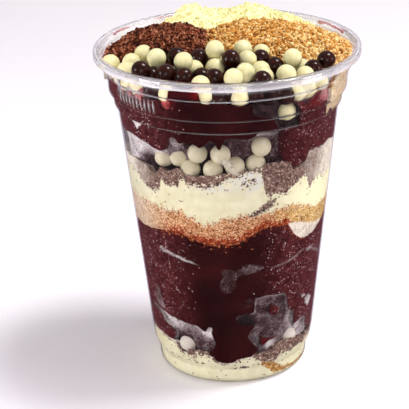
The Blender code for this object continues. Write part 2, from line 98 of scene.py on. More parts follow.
# Boundaries of the layers at the wall, as (azimuth, height) all the way round, with the size
# and the amount of their raggedness
BASE_POWDER_TOP = [
    (-180, 10), (-120, 12), (-95, 13), (-84, 15), (-70, 15.2), (-58, 15.8), (-51, 14.8), (-45, 14.6),
    (-41, 11.2), (-38, 10.8), (-36, 11.2), (-34, 10.8), (-33, 10.4), (-29, 10.2), (-26, 12.4),
    (-24, 11.4), (-20, 12.2), (-16, 11.5), (-11.5, 9.2), (-4, 8.8), (2, 9.6), (8, 11), (15, 11.2),
    (18, 10), (22, 8.6), (28, 8.1), (33, 8.6), (36, 9.8), (40, 10.3), (44, 9.6), (50, 10.4), (56, 10.9),
    (62, 10.6), (68, 11.2), (80, 11.5), (120, 10), (150, 11.5),
]
BASE_COCOA_TOP = [
    (-180, 13), (-120, 14.5), (-95, 14.5), (-84, 16), (-76, 16.3), (-70, 15.9), (-64, 16.4), (-58, 16.7),
    (-54, 16.2), (-51, 15.6), (-46, 15.9), (-43, 14.0), (-41, 12.2), (-36, 11.9), (-33, 13.2),
    (-28, 13.7), (-24, 14), (-19, 13.9), (-17, 12.8), (-14.5, 12.2), (-13, 10.9), (-11.5, 9.9), (-8, 9.5),
    (-4, 9.4), (0, 9.7), (2, 10.4), (5, 11.2), (10, 11.9), (15, 12.6), (19, 13.1), (25, 13.2), (28, 13.4),
    (30, 14.6), (33, 15.3), (38, 15.6), (44, 15.3), (50, 15), (56, 14.4), (62, 13.8), (72, 13.4),
    (84, 13), (120, 13), (150, 14),
]
LOWER_ACAI_TOP = [
    (-180, 60), (-130, 58.5), (-100, 59.5), (-84, 57.5), (-76, 59), (-70, 60.1), (-62, 59.9), (-54, 60.2),
    (-48, 60.6), (-43, 61.4), (-38, 61.8), (-30, 61.8), (-24, 60.8), (-16, 59.2), (-10, 58.8), (-5, 58.8),
    (0, 59.5), (5, 60.2), (9, 61.4), (13, 62.5), (16, 63.6), (19, 64.7), (23, 64.8), (28, 64.2), (32, 64),
    (35, 63.4), (37, 62), (39, 60.2), (42, 58), (45, 56.6), (49, 55.9), (52, 56), (56, 56.4), (60, 56.9),
    (64, 57.8), (67, 59), (72, 59.8), (80, 60.5), (100, 62.5), (125, 61), (150, 58),
]
PEANUT_TOP = [
    (-180, 70), (-130, 68), (-100, 70.5), (-80, 70.4), (-66, 71), (-58, 70.2), (-52, 70.8), (-46, 71),
    (-40, 69.8), (-36, 69.9), (-30, 70.8), (-28, 72.0), (-27, 70.5), (-25, 69), (-21, 68.6), (-18, 66.8),
    (-15, 66.3), (-11, 66.6), (-8, 67), (-5, 68.9), (-3, 69.3), (0, 68.8), (4, 69.3), (8, 69.7),
    (12, 69.4), (16, 69.8), (20, 69.6), (24, 70.3), (27, 70.9), (32, 71.4), (38, 71.3), (42, 70.5),
    (46, 69.4), (50, 69), (53, 68), (56, 66.8), (60, 66.6), (65, 66.9), (70, 66.6), (76, 67), (84, 67.6),
    (110, 71), (140, 69), (165, 67.5),
]
MILK_TOP = [
    (-180, 79.5), (-125, 77.5), (-95, 80.5), (-80, 80.8), (-70, 81.6), (-64, 81.8), (-60, 80.8),
    (-57, 79), (-54, 77.6), (-50, 76.7), (-46, 76.6), (-43, 77.2), (-41, 79), (-40, 81.8), (-39, 81.6),
    (-37, 80.3), (-34, 79.7), (-31, 80.1), (-28.6, 80), (-28, 82.5), (-26, 83.4), (-24.5, 83.2),
    (-24, 81.4), (-22, 81.4), (-20, 81.8), (-16, 81.2), (-10, 81.5), (-6, 82.3), (-3, 84.0), (0, 85),
    (4, 84.8), (7, 85.6), (8.5, 87), (13.5, 86.8), (17, 86), (18.4, 84.5), (18.2, 82.5), (18.6, 80.5),
    (19.5, 78), (20.5, 76), (22.8, 75.5), (23.5, 77), (26, 77.4), (29, 76.6), (32, 76.8), (35, 78.3),
    (40, 79.3), (44, 80.9), (46, 80.6), (48, 78.5), (49.5, 75.9), (50.5, 75), (51.5, 77.3), (55, 78.4),
    (59, 78.6), (62, 77.5), (65, 76.2), (68, 77.2), (72, 78.5), (80, 78.2), (100, 81.5), (140, 77),
    (160, 81),
]
COCOA_TOP = [
    (-180, 87), (-150, 86), (-110, 86.5), (-84, 85), (-70, 85.5), (-60, 86), (-52, 86), (-47, 83.6),
    (-44, 83.2), (-41, 84.5), (-39.5, 86), (-36, 85.8), (-32, 85.8), (-28, 87), (-25, 86), (-20, 85.3),
    (-15, 85.4), (-10, 85.5), (-6, 86), (-3, 86.6), (0, 86.4), (3, 86), (7, 86.8), (12, 87.8), (17, 87.9),
    (19, 89), (22, 89.4), (26, 89), (28.4, 89.8), (31, 88.5), (34, 87), (36.5, 85.6), (38, 85.4),
    (40, 86.1), (42, 86.5), (44.5, 86.8), (45.8, 88.5), (46.4, 90), (50, 90.2), (56, 89.8), (60, 89.8),
    (64, 90.4), (68, 90.6), (72, 89.3), (76, 88.3), (84, 87.4), (110, 86), (150, 88),
]
UPPER_ACAI_FOOT = [
    (-180, 98), (-158, 89.5), (-140, 96), (-110, 95), (-90, 95), (-80, 94.6), (-70, 94.8), (-60, 95.3),
    (-52, 94.8), (-46, 93.8), (-41, 92.8), (-38, 92.6), (-35.5, 93.2), (-34.2, 95.5), (-33, 98.6),
    (-29, 99.2), (-27.4, 98), (-26.5, 96.8), (-25, 96.9), (-22, 97.6), (-19, 97.6), (-17, 97),
    (-15.5, 96.2), (-13.5, 96.4), (-12, 97.6), (-9, 98.8), (-7, 98), (-5.8, 95.8), (-4.4, 95.5),
    (-3.4, 97.3), (-2, 99.4), (1, 100.3), (6, 99.2), (10, 99.2), (13, 100.2), (14.5, 101.3), (20, 101.6),
    (27.6, 101.6), (28.2, 98), (28.2, 92), (28.6, 90), (31, 88.7), (34, 87.2), (36.5, 85.8), (38, 85.6),
    (40, 86.3), (42, 86.7), (44.5, 87), (45.8, 88.7), (46.4, 90.2), (50, 90.4), (56, 90), (60, 90),
    (64, 90.6), (68, 90.8), (72, 89.5), (76, 88.5), (84, 88), (105, 93), (125, 90), (145, 98),
]
UPPER_ACAI_TOP = [
    (-180, 114.5), (-130, 114), (-90, 113), (-80, 113), (-70, 113.6), (-60, 113.6), (-57, 112.6),
    (-53, 114), (-49, 114.2), (-46, 113), (-40, 112.2), (-36, 112.4), (-33, 112.2), (-30, 113.4),
    (-27.4, 114.8), (-26.4, 117.8), (-20, 118.1), (-13.4, 118), (-12, 113.8), (-9, 113.3), (0, 113.2),
    (5, 112.2), (12, 113.0), (20, 113.4), (30, 113.2), (34, 110.4), (37, 111.2), (42, 110.2), (45, 112.4),
    (48, 112.8), (51, 110.8), (53.5, 107.6), (56, 106.4), (60, 104.6), (65, 103.3), (72, 102.6),
    (80, 101.6), (92, 103), (105, 109), (125, 113.5),
]
POWDER_RAG, CRUMB_RAG, PULP_RAG = (1.1, 0.55), (1.3, 0.6), (2.2, 0.28)

# Pockets at the front run back along the sight line into the cup, so that what is in them shows, and turn
# to the axis between two cosines of the azimuth
POCKET_RUN, POCKET_TURN = (0.0, 0.92, -0.38), (0.1, 0.5)

# How far the middle of a layer's top and foot is dished, which the deepest pockets need
DISH, BASE_DISH = 8.0, 5.0

# How icy the pulp's sides are, and where it turns icy and then, by a painted sheen of the glancing wall,
# paler still, in degrees from the front's middle; and the front stretch where it soaks the peanuts: its
# middle, and where the soaking ebbs away
ICE, LOWER_ICE, UPPER_ICE, SIDE_SHEEN_SPAN = 0.97, (14, 42), (18, 44), (44, 78)
SOAKED_FRONT = (3, 34, 58)

# Patches where food stands back from the wall or frost and film cover it: how deep it stands back, how
# soft its edge is, how much frost or film covers it, and its outline on the wall, which is uneven by
# noise of a size and an amount
PATCH_RAG = (1.6, 0.35)
LOWER_PATCHES = {
    "left_pocket": (3.4, 0.5, 1.0, [
        (-74, 28), (-64, 27.3), (-58, 26.7), (-52, 26.3), (-47, 25.7), (-41, 25.1), (-39, 24.7),
        (-36, 25.2), (-33, 24.6), (-30, 24.5), (-26, 24.5), (-22, 23.2), (-19.5, 22.3), (-18, 22.8),
        (-16.5, 24.4), (-14.4, 24.2), (-14.5, 21.8), (-13, 19.8), (-12.1, 18.3), (-13.5, 16.5),
        (-16, 14.8), (-18, 12.4), (-30, 11), (-42, 12), (-46, 15.4), (-44, 16.9), (-42.4, 18.3),
        (-42.7, 19.9), (-45, 20.9), (-50, 21.8), (-54, 23.2), (-56.5, 25), (-60, 25.7), (-66, 26.3),
        (-74, 27),
    ]),
    "right_pocket": (3.4, 0.5, 0.96, [
        (14.7, 36.5), (20, 36.7), (27, 36.3), (35, 36.1), (36.5, 35), (38, 32), (39, 29.2), (43, 27.2),
        (45, 26.5), (45.6, 24), (46.2, 21.2), (44, 20.2), (47, 20.6), (50, 21.2), (54, 22.1), (58, 21.7),
        (59.7, 20.5), (61, 17.2), (65, 15.6), (74, 14), (74, 11), (30, 11), (20, 11), (14, 12),
        (18.5, 14.6), (16, 16.3), (13, 18.2), (10.5, 20.6), (12.5, 23), (14.8, 24.2), (15, 25.5),
        (11, 25.5), (6, 26), (4, 27.5), (2, 29), (5, 29.8), (10, 29.8), (14, 30.5), (14.6, 33),
    ]),
    "middle_film": (0.0, 0.5, 0.72, [
        (-8, 48.3), (-4, 48.8), (0, 48.6), (3, 48.2), (5, 48.9), (8, 50.2), (10, 50.8), (14, 50),
        (17, 49.3), (19.5, 48.7), (16, 47.6), (12, 46.9), (8, 46.6), (4, 46), (2.5, 44), (2, 41.5),
        (0, 39.5), (-3, 39), (-6, 39.8), (-7.5, 41.5), (-7, 43.5), (-5.5, 45), (-5.2, 46.6),
    ]),
    "small_film": (0.0, 0.8, 0.3, [(6, 34.4), (8, 36.4), (13.5, 36.4), (13, 33.4), (9, 32.7)]),
    "left_film": (0.0, 1.6, 0.5, [
        (-61, 31), (-58.5, 36.5), (-54.5, 36), (-53.5, 32), (-51, 28.4), (-55, 27.6), (-59, 29),
    ]),
    "powder_piece": (0.0, 0.5, 1.0, [
        (22.4, 13.2), (22.8, 15.2), (25, 16.8), (28.5, 18), (31.6, 18.4), (33, 16.6), (32.2, 14.8),
        (29.6, 13),
    ]),
    "white_fleck": (0.0, 0.5, 0.95, [
        (56.5, 29.3), (60, 30.6), (64, 29.4), (67, 27.8), (64.5, 26.6), (61.5, 25.6), (59, 27.2),
    ]),
    "small_fleck": (0.0, 0.4, 0.9, [(52, 32), (56, 31.6), (57.5, 30.7), (53.5, 30.6)]),
    # Thin bright frost in three streaks, which paints the glints along a moulded line round the wall
    "left_painted_glint": (0.0, 0.35, 0.7, [
        (-48.5, 53.2), (-46, 54.4), (-44, 54.1), (-41, 53.4), (-36, 52.8), (-30, 51.8), (-25, 50.9),
        (-19, 49.9), (-25, 50.4), (-30, 50.9), (-35, 51.5), (-41, 52.2), (-46, 52.7),
    ]),
    "right_painted_glint": (0.0, 0.3, 0.5, [
        (24, 48.0), (32, 48.6), (38, 49.4), (44, 50.5), (50, 51.7), (50, 51.3), (44, 50.0), (38, 48.8),
        (32, 48.0),
    ]),
    "far_painted_glint": (0.0, 0.35, 0.55, [
        (52, 50.7), (56, 51), (58, 50.3), (64, 48.8), (70, 46.7), (76, 44), (70, 45.6), (64, 47.4),
        (58, 49.3), (53, 50),
    ]),
}
BACK_PATCHES = {
    "side_pocket": (4.0, 0.5, 0.9, [
        (103, 18), (104, 24), (112, 26), (118, 24.2), (124, 24.8), (130, 26.5), (138, 23), (139, 18),
        (134, 13), (120, 11), (108, 12.5),
    ]),
    "back_pocket": (4.0, 0.5, 0.9, [
        (157, 17), (158, 22), (164, 25), (172, 24), (175, 19), (171, 13), (162, 12.5),
    ]),
    "far_pocket": (4.0, 0.5, 0.9, [
        (-157, 20), (-150, 25), (-143, 22.5), (-138, 23.5), (-131, 26), (-125, 21), (-127, 14),
        (-138, 12), (-152, 12.5),
    ]),
    "back_film": (0.0, 0.6, 0.5, [(150, 42), (158, 45), (166, 44), (172, 40), (163, 38), (154, 38.5)]),
    # Thin bright frost that paints the glints along the moulded line at the back
    "back_painted_glint": (0.0, 0.35, 0.7, [
        (-150, 48), (-140, 50.5), (-128, 51.5), (-120, 51), (-130, 50.3), (-142, 49),
    ]),
}
UPPER_PATCHES = {
    "top_pocket": (6.0, 0.5, 1.0, [
        (11.4, 115), (11.8, 109.2), (14, 108.2), (19, 107.4), (22.6, 106.4), (23.4, 104), (25.6, 102.1),
        (35.2, 102.1), (35.8, 104.6), (35.0, 107.4), (34.0, 110), (31.5, 112), (31, 115),
    ]),
    "triangle": (0.0, 0.35, 0.95, [
        (-58.5, 101.1), (-54, 101.3), (-49.5, 101.2), (-52, 99.8), (-54, 98.3), (-56, 99.8),
    ]),
    "far_rim_film": (0.0, 0.4, 0.8, [
        (53.4, 107.6), (58, 105.2), (62, 104), (66, 103.1), (62, 103.2), (57, 104.4),
    ]),
}

# Where food touches the wall inside a patch, or is soiled, filmed or stained: softness of the edge, and
# outline
LOWER_CONTACTS = {
    "red_spot": (0.5, [
        (24, 31.6), (26, 32.7), (29, 32.4), (31.8, 30.8), (32.2, 28.8), (30, 27.6), (26.5, 28),
        (24.4, 29.4),
    ]),
    "red_drips": (0.4, [
        (18.6, 18.4), (19, 20), (21, 19.8), (23.6, 18.9), (27.5, 19), (30.5, 19), (30.4, 18.2),
        (26, 17.6), (23, 16.8), (20.6, 16),
    ]),
}
MILK_SOIL = {
    "cocoa_streak": (0.5, [
        (9, 70.4), (13, 71.1), (17, 73), (21, 74.6), (26, 75.2), (25.8, 73.6), (22.4, 71.4), (18, 70.6),
        (15, 69.8), (12, 68.6), (10, 68.2),
    ]),
}
PEANUT_FILM = {
    "milk_drip": (0.8, [
        (35.6, 64), (40, 63.8), (46, 62.7), (52, 61.3), (58, 60.3), (64, 59.9), (69, 59.4), (69, 55),
        (36, 55),
    ]),
}
BASE_STAIN = {
    "peanut_patch": (0.9, [
        (22, 9), (26, 8.4), (30, 7.8), (34, 6.4), (38, 4.8), (42, 3.6), (56, 3.2), (72, 3.4), (72, 2.2),
        (44, 2), (34, 1.9), (30, 3.2), (27, 5), (23, 6.6), (21, 7.6),
    ]),
}

# Painted light and shade inside the frosted pockets and the hollow, along with the frost's own paleness,
# and frost on the cocoa layer: (azimuth, height, half width, half height, lightness or frost)
LOWER_LIGHTS = [
    (-62, 26.5, 12, 3, 0.85), (-47, 23.4, 7, 3.4, 0.85), (-38, 23, 5, 2, 0.66), (-29, 23, 5, 2.4, 0.54),
    (-17, 22, 4, 2.2, 0.88), (-20, 17.4, 6, 3, 0.34), (-33, 18.4, 4, 2.4, 0.2), (-45, 18, 3, 3, 0.6),
    (-31, 22, 1.2, 0.9, 0.3), (25, 33, 12, 5, 0.34), (27, 23, 9, 4, 0.3), (42, 24, 3.6, 3.6, 0.7),
    (54, 18, 9, 4, 0.72), (18, 14, 4, 2, 0.4), (33, 18, 4, 2, 0.45), (14, 19, 3, 3, 0.4),
    (28, 15.7, 4, 2.2, 1.05), (0, 44, 9, 6, 0.25), (13, 48.5, 6, 2, 0.31), (-57, 32, 4, 4, 0.45),
    (62, 28, 6, 4, 0.8), (54, 31, 4, 2, 0.8), (-40, 52, 16, 3, 0.78), (36, 49, 14, 2.4, 0.7),
    (64, 48, 14, 4, 0.66),
]
BACK_LIGHTS = [
    (112, 23, 8, 4, 0.6), (130, 24, 8, 4, 0.5), (166, 21, 8, 4, 0.6), (-148, 21, 8, 4, 0.55),
    (-132, 23, 8, 4, 0.7), (160, 42, 10, 4, 0.35), (-136, 50, 14, 3, 0.8),
]
UPPER_LIGHTS = [
    (-54, 100, 6, 3, 1.0), (60, 104, 9, 3, 1.0), (22, 109, 8, 5, 0.16), (30, 103, 5, 1.6, 0.3),
]
LINING_LIGHTS = [
    (-80, 91, 16, 9, 0.88), (-58, 92, 8, 4, 0.8), (-44, 93, 7, 1.8, 0.85), (-46, 87, 5, 4, 0.1),
    (-30, 96.5, 4.5, 4, 0.55), (-24, 92, 5, 3, 0.32), (-8, 98.5, 6, 2.5, 0.14), (5, 96, 8, 5, 0.24),
    (17, 101.2, 8, 0.8, 0.8), (24, 96, 5, 7, 0.3), (120, 92, 30, 9, 0.6), (200, 92, 30, 9, 0.5),
]
COCOA_FROST = [
    (68, 84, 13, 9, 0.9), (50, 86, 5, 4, 0.55), (-54, 84, 6, 4, 0.55), (-74, 84, 12, 6, 0.95),
    (-38, 84, 8, 4, 0.0), (35, 84, 9, 5, 0.0),
]

# Specks in the milk powder, those along the foot's ledge also a painted line of shade, cold light patches
# in it and red smears, given the same way
SPECK_LINES = [
    (-53, 9.1, 5, 0.5, 0.6), (-42, 8.9, 5, 0.5, 0.55), (-32, 8.6, 4, 0.5, 0.55), (-24, 8.7, 4, 0.6, 0.6),
    (8, 6.9, 3.0, 0.7, 0.95), (-0.5, 7, 2, 0.7, 0.6), (-3, 2.9, 3.0, 0.5, 0.4), (24, 2.0, 2.4, 0.6, 0.6),
    (20, 8, 9, 0.5, 0.55), (0, 5, 60, 1.2, 0.0),
]
MILK_SPECKS = [
    (10.2, 82.6, 3.0, 1.4, 0.5), (-13.5, 82, 2.8, 1.1, 0.6), (-1, 80, 1.6, 0.6, 0.3),
    (-28, 75, 2, 0.7, 0.2), (0, 78, 30, 1.2, 0.0),
]
MILK_CHILL = [
    (10, 83, 6, 3.0, 0.85), (-13, 82, 5, 2.0, 0.8), (-1, 82, 8, 2.6, 0.6), (-56, 78, 8, 3, 0.3),
    (0, 76, 20, 2.4, 0.0),
]
RED_SMEARS = [
    (-21, 116.8, 5, 1.4, 0.1), (-14, 117.2, 2.2, 1.6, 0.8), (-28.5, 112.8, 2.6, 1.5, 0.7),
    (-50, 113, 3, 1.2, 0.6), (-60, 112.6, 4, 1.2, 0.5), (36, 112.4, 3, 1.5, 0.5),
    (41, 109.6, 5, 1.8, 0.4), (46, 109.2, 4, 2.0, 0.6), (0, 110, 30, 4, 0.0), (40, 106, 14, 2.5, 0.0),
]

# Balls under the skin of the pulp, as (azimuth, height)
STAINED_BALLS = [(-60.0, 111.8), (-53.0, 112.0), (-46.5, 112.6), (-30.0, 111.9), (53.0, 110.0)]

# Where the pulp is rubbed off in front of balls: (azimuth, height, radius), the edge and the depth
RUBBED_SPOTS = [
    (-60.0, 111.8, 2.0), (-53.0, 112.0, 2.0), (-46.5, 112.6, 2.0), (-30.0, 111.9, 2.0),
    (37.2, 111.6, 2.6), (50.0, 110.4, 2.4),
]
RUBBED_EDGE, RUBBED_DEPTH = 0.4, 2.4

# Pulp smeared inside the rim: (azimuth, height, half width, half height, slant), and the grid of each
RIM_SMEARS = [
    (129.2, 120.3, 1.9, 0.75, 0.0), (120.5, 120.4, 8.5, 0.35, 0.03), (112.0, 120.1, 2.2, 0.6, 0.05),
    (-121.0, 120.6, 6.0, 0.4, 0.02), (-115.5, 120.4, 1.8, 0.5, 0.0), (-149.0, 120.9, 5.0, 0.25, 0.0),
]
SMEAR_COLUMNS, SMEAR_RINGS = 28, [1.0, 0.8, 0.5, 0.2]

# Frost on the inside of the clear wall: (azimuth, height, half width, half height, cloudiness)
RIM_FROST = [
    (-66, 115.6, 14, 3.2, 0.75), (-47, 116.4, 4, 2, 0.3), (44, 116.6, 9, 3.0, 0.35),
    (60, 114, 11, 4.5, 0.45), (76, 112, 9, 6, 0.3), (0, 112, 34, 3, 0.0), (-60, 110, 30, 2.5, 0.0),
    (50, 106, 30, 3, 0.0),
]

# Milk powder caught between the balls and the wall, along a line of (azimuth, height): its number of
# lumps and how far they stray in azimuth and height
POWDER_TRAIL = [(-3.4, 91.6), (-1.0, 89.6), (2.4, 87.4), (3.6, 85.8)]
TRAIL_LUMPS, TRAIL_SPREAD = 260, (1.1, 0.5)

# Balls: (azimuth, height) against the wall, with how much further in they stand, and (x, y, height) on
# the front heap
RING_RADIUS, HEAP_RADIUS = 3.5, 3.3
LOWER_RING = [(-37.4, 14.5), (48.0, 15.6), (112, 18), (130, 17.4), (166, 18.6), (212, 17.4), (228, 17.8)]
UPPER_RING = [
    (-40.6, 89.0), (-23.3, 86.3), (-18.2, 92.6), (-9.5, 86.8), (-4.9, 92.5), (3.1, 88.0), (15.2, 88.5),
    (18.3, 94.7), (90, 91), (101, 92), (114, 90), (126, 93), (152, 92), (163, 92.5), (176, 91), (187, 93),
    (224, 90), (236, 91.5), (250, 90.5),
]
RING_BEHIND = [(-31.2, 89.8, 1.3), (-78.0, 87.0, 1.6)]
RIM_WHITE = [
    (-76.5, 113.4), (-67.5, 113.8), (-58.5, 114.3), (-49.5, 114.6), (-30.6, 114.6), (-11.4, 115.6),
    (5.6, 114.6), (31.7, 107.0), (36.4, 113.6), (42.6, 115.0, 0.5), (44.5, 112.9, 0.7),
    (52.6, 114.8, 0.4), (62.0, 113.4),
]
RIM_DARK = [
    (-41.0, 114.7, 0.6), (-20.0, 115.6), (-5.2, 115.6, 1.4), (0.6, 115.4, 2.2), (13.6, 114.9, 0.2),
    (22.6, 115.2, 0.3), (28.6, 115.6, 1.6), (57.6, 114.6, 0.8),
]
HEAP_WHITE = [
    (-40.9, -8.4, 117.6), (-34.7, -19.0, 118.3), (-33.3, -12.7, 119.1), (-29.2, -7.8, 120.6),
    (-24.2, -19.6, 122.7), (-24.3, -15.6, 117.6), (-14.8, -27.2, 123.6), (-11.2, -23.7, 119.5),
    (-4.1, -20.6, 125.6), (-3.2, -16.8, 120.4), (-4.2, -24.7, 120.3), (5.5, -14.4, 123.6),
    (6.8, -22.4, 122.2), (6.0, -34.7, 121.6), (2.0, -39.8, 121.4), (11.9, -11.4, 121.0),
    (11.3, -26.3, 119.5), (12.3, -32.9, 119.4), (22.4, -21.7, 122.3), (19.7, -34.6, 120.7),
    (26.2, -29.8, 118.4), (25.9, -18.6, 117.7), (-9.0, -39.1, 119.0),
]
HEAP_DARK = [
    (1.3, -25.6, 123.6), (-17.4, -16.5, 122.2), (-9.7, -17.7, 121.8), (-29.3, -27.2, 120.9),
    (-25.9, -22.9, 117.3), (-20.8, -31.2, 120.8), (-14.6, -33.3, 120.1), (-17.6, -27.3, 116.7),
    (-8.7, -29.7, 118.8), (-4.4, -34.5, 119.8), (6.9, -30.3, 117.0), (11.5, -17.9, 121.1),
    (16.2, -22.1, 119.7), (11.5, -39.3, 120.2), (18.1, -29.8, 116.6), (29.3, -24.0, 119.0),
    (33.9, -19.8, 120.8), (32.0, -15.5, 116.3),
]

# The grid of a ball, its gap to the wall, the range of its sizes and its lumps as (size, amount)
BALL_COLUMNS, BALL_ROWS = 28, 18
BALL_GAP, BALL_SIZES, BALL_LUMPS = 0.1, (0.965, 1.02), (2.2, 0.05)

# The heaps in plan: the line where each starts, from one side to the other, and the azimuths
# between which it meets the wall; then (crown, centre x, centre y, reach x, reach y)
FRONT_LINE = [(-41.5, -4.9), (-5.5, -10.4), (40.5, -10.4)]
BACK_LINE = [(-38.5, 17.2), (-7.0, 9.0), (37.0, 23.0)]
SEAM_LINE = [(-5.5, -10.4), (-7.0, 9.0)]
FRONT_ARC, BACK_ARC = [-83.0, 76.5], [247.0, 120.5]
COCOA_ARC, PEANUT_ARC = [-83.0, -113.0], [60.0, 120.5]
COCOA_MOUND = (126.4, -16.5, 3.0, 25.4, 16.5)
PEANUT_MOUND = (126.2, 8.0, 4.0, 36.0, 20.0)
POWDER_MOUND = (125.3, 2.0, 22.0, 34.0, 25.0)
POWDER_PEAKS = [(-13.0, 21.0, 6.5, 6.0), (9.0, 23.0, 7.5, 3.6)]
BALL_MOUND = (119.6, 0.0, 0.0, 47.0, 47.0)
HEAP_FALL, HEAP_POWER, HEAP_EDGE = 8.0, 3.0, 117.2
SEAM_DIP, SEAM_WIDTH = 2.4, 6.5

# The grid of a heap, the margin that it runs under its neighbours and its fall there, the height at which
# its plan is taken, its foot, the rows at its edge that look like its side, and its grain as (size, amount)
HEAP_STEP, HEAP_ROW, HEAP_MARGIN, HEAP_SLOPE = 0.55, 0.7, 3.0, 1.6
HEAP_LEVEL, HEAP_LOW, PEANUT_LOW, HEAP_BRIM = 119.0, 112.0, 100.8, 4
CRUMB_GRAIN, POWDER_GRAIN, BED_GRAIN = (1.8, 0.55), (2.6, 0.8), (3.0, 0.5)

# What a heap's numbers say on its top and on its side at the wall
HEAP_LOOKS = {"frost": (0.0, 0.4), "pale": (0.0, 1.0), "stain": (0.0, 0.0), "stray": (0.0, 0.0)}

# The bed of balls under those that show: rows and half a row's balls, steps in ball radii and between
# rows, where it starts, how far balls stray, the wall's height there, and the depth below the mound
BED_ROWS, BED_HALF, BED_STEP, BED_ROW_SHARE = 9, 8, 1.95, 0.87
BED_FRONT, BED_SHIFT, BED_LEVEL, BED_DEPTH = -8.0, 0.3, 114.0, 4.2

# The dark core under the bed, a sheet of painted shade deep in the heap: how far below the mound and
# how far from the wall
CORE_DEPTH, CORE_BACK = 5.0, 4.2

# Sizes of grains: those pressed against the wall, those in the heaps, and the least and most of loose ones
WALL_COCOA_GRAIN, WALL_PEANUT_GRAIN, WALL_POWDER_GRAIN, ICE_GRAIN = 0.6, 0.48, 0.48, 0.56
COCOA_GRAIN, PEANUT_GRAIN = 0.9, 1.0
LOOSE_COCOA, LOOSE_PEANUT, LOOSE_POWDER = (0.55, 1.4), (0.55, 1.5), (0.4, 1.3)

# Loose crumbs: how far past a heap's ground they lie, how far they stray and how they are stretched
LOOSE_MARGIN, LOOSE_SHIFT, LOOSE_STRETCH = 1.5, (0.35, 0.35, 0.5), (0.55, 1.35)

# Camera of the photograph, fitted to the rim, the rings and the foot, in pixels, millimetres and radians
IMAGE_SIDE = 409.0
FOCAL_PIXELS = 1647.6
SENSOR = 36.0
CAMERA_DISTANCE, CAMERA_HEIGHT = 561.4, 288.3
CAMERA_PAN, CAMERA_TILT, CAMERA_ROLL = -0.0168, 0.3859, -0.027
CAMERA_CLIP = 10.0

# Floor and lamps, in metres and watts: (name, place, size, power), and where the lamps aim
FLOOR_SIDE = 8.0
LAMPS = [
    ("key light", (0.42, 0.02, 1.05), (0.3, 0.3), 9.2),
    ("front fill light", (0.1, -1.0, 0.3), (0.5, 0.5), 2.6),
    ("left strip light", (-0.8, -0.35, 0.2), (0.3, 0.5), 4.4),
    ("right strip light", (0.8, -0.25, 0.2), (0.3, 0.5), 2.5),
]
LAMP_AIM = (0, 0, 0.07)

# Names and settings that many shader nodes share. A colour Mix node gives its sockets the names that it
# also uses for numbers, so they are told apart by their places.
SHADER = "Principled BSDF"
SMOOTH = {"interpolation_type": "SMOOTHSTEP"}
COLOURS = {"data_type": "RGBA"}
FIRST, SECOND, MIXED = 6, 7, 2

# Colours from dark to light, as (position, sRGB colour): film on the wall, then crumbs, powder and balls
# The film's ramps run from the painted shade of a deep pocket to the lightest frost
COOL_FILM = [(0.0, "#191111"), (0.3, "#483132"), (0.65, "#968a89"), (1.0, "#efe9e4")]
WARM_FILM = [(0.0, "#2a1d18"), (0.3, "#5e4a42"), (0.65, "#ab9b8e"), (1.0, "#ece4d4")]
COCOA_STOPS = [(0.05, "#240c06"), (0.35, "#5a2817"), (0.7, "#8e4a2f"), (1.0, "#cc8868")]
# A heap's core shows between its loose crumbs in darker copies of their colours: painted shade in the gaps
COCOA_CORE_SHADE_STOPS = [(0.05, "#1e0c07"), (0.6, "#3e1d12"), (1.0, "#6a3824")]
PEANUT_STOPS = [(0.05, "#84440f"), (0.25, "#c58438"), (0.65, "#e4ab5a"), (1.0, "#fce2a2")]
# Painted shade in the gaps, as for the cocoa core
PEANUT_CORE_SHADE_STOPS = [(0.05, "#6a3410"), (0.6, "#9c5e24"), (1.0, "#c89044")]
WALL_COCOA_STOPS = [(0.05, "#523c36"), (0.4, "#7f6358"), (0.75, "#997d70"), (1.0, "#b99f91")]
WALL_PEANUT_STOPS = [(0.05, "#7c4629"), (0.25, "#c08a5e"), (0.7, "#dba87c"), (1.0, "#f2d0a4")]
FAR_PEANUT_STOPS = [(0.05, "#96702f"), (0.25, "#cda45a"), (0.7, "#e4c07c"), (1.0, "#f6e4b4")]
TRAIL_STOPS = [(0.0, "#cbc2ac"), (1.0, "#ece6d4")]
POWDER_STOPS = [(0.0, "#efe4a0"), (0.5, "#f7efb2"), (1.0, "#fbf6c8")]
BALL_WHITE_STOPS = [(0.3, "#ddd49c"), (0.7, "#ece4b4")]
# The ring balls are darker than the heap's, for frost and for painted shade
WALL_BALL_STOPS = [(0.3, "#c4bb98"), (0.7, "#d4ccae")]
FROZEN_BALL_STOPS = [(0.3, "#cdc6b4"), (0.7, "#dcd6c8")]
STAINED_BALL_STOPS = [(0.3, "#7a1a20"), (0.7, "#b85450")]
BALL_DARK_STOPS = [(0.3, "#1a0805"), (0.7, "#34130c")]


def linear(code):
    """Linear red, green and blue of an sRGB hex colour."""
    values = np.array([int(code[i:i + 2], 16) / 255 for i in (1, 3, 5)])
    return tuple(np.where(values <= 0.04045, values / 12.92, ((values + 0.055) / 1.055) ** 2.4))


# Numbers and shapes


def hashed(cells, seed):
    """A random number from 0 to 1 for each point of a whole-numbered lattice. Large primes and shifts mix
    the three numbers and the seed, and the lowest 20 bits are kept."""
    mixed = (cells * np.array([73856093, 19349663, 83492791])).sum(axis=-1) + seed * 26544357
    mixed = (mixed ^ (mixed >> 13)) * 1274126177
    mixed = mixed ^ (mixed >> 16)
    return (mixed & 0xFFFFF) / 0xFFFFF


def noise(points, size, seed=0):
    """Value noise from -1 to 1: lattice numbers, a size apart, blended by a smooth step on each axis."""
    cell = np.floor(points / size)
    part = points / size - cell
    part = part * part * (3 - 2 * part)
    cell = cell.astype(np.int64)
    total = np.zeros(points.shape[:-1])
    for corner in np.ndindex(2, 2, 2):
        corner = np.array(corner)
        weight = np.where(corner, part, 1 - part).prod(axis=-1)
        total += weight * hashed(cell + corner, seed)
    return 2 * total - 1


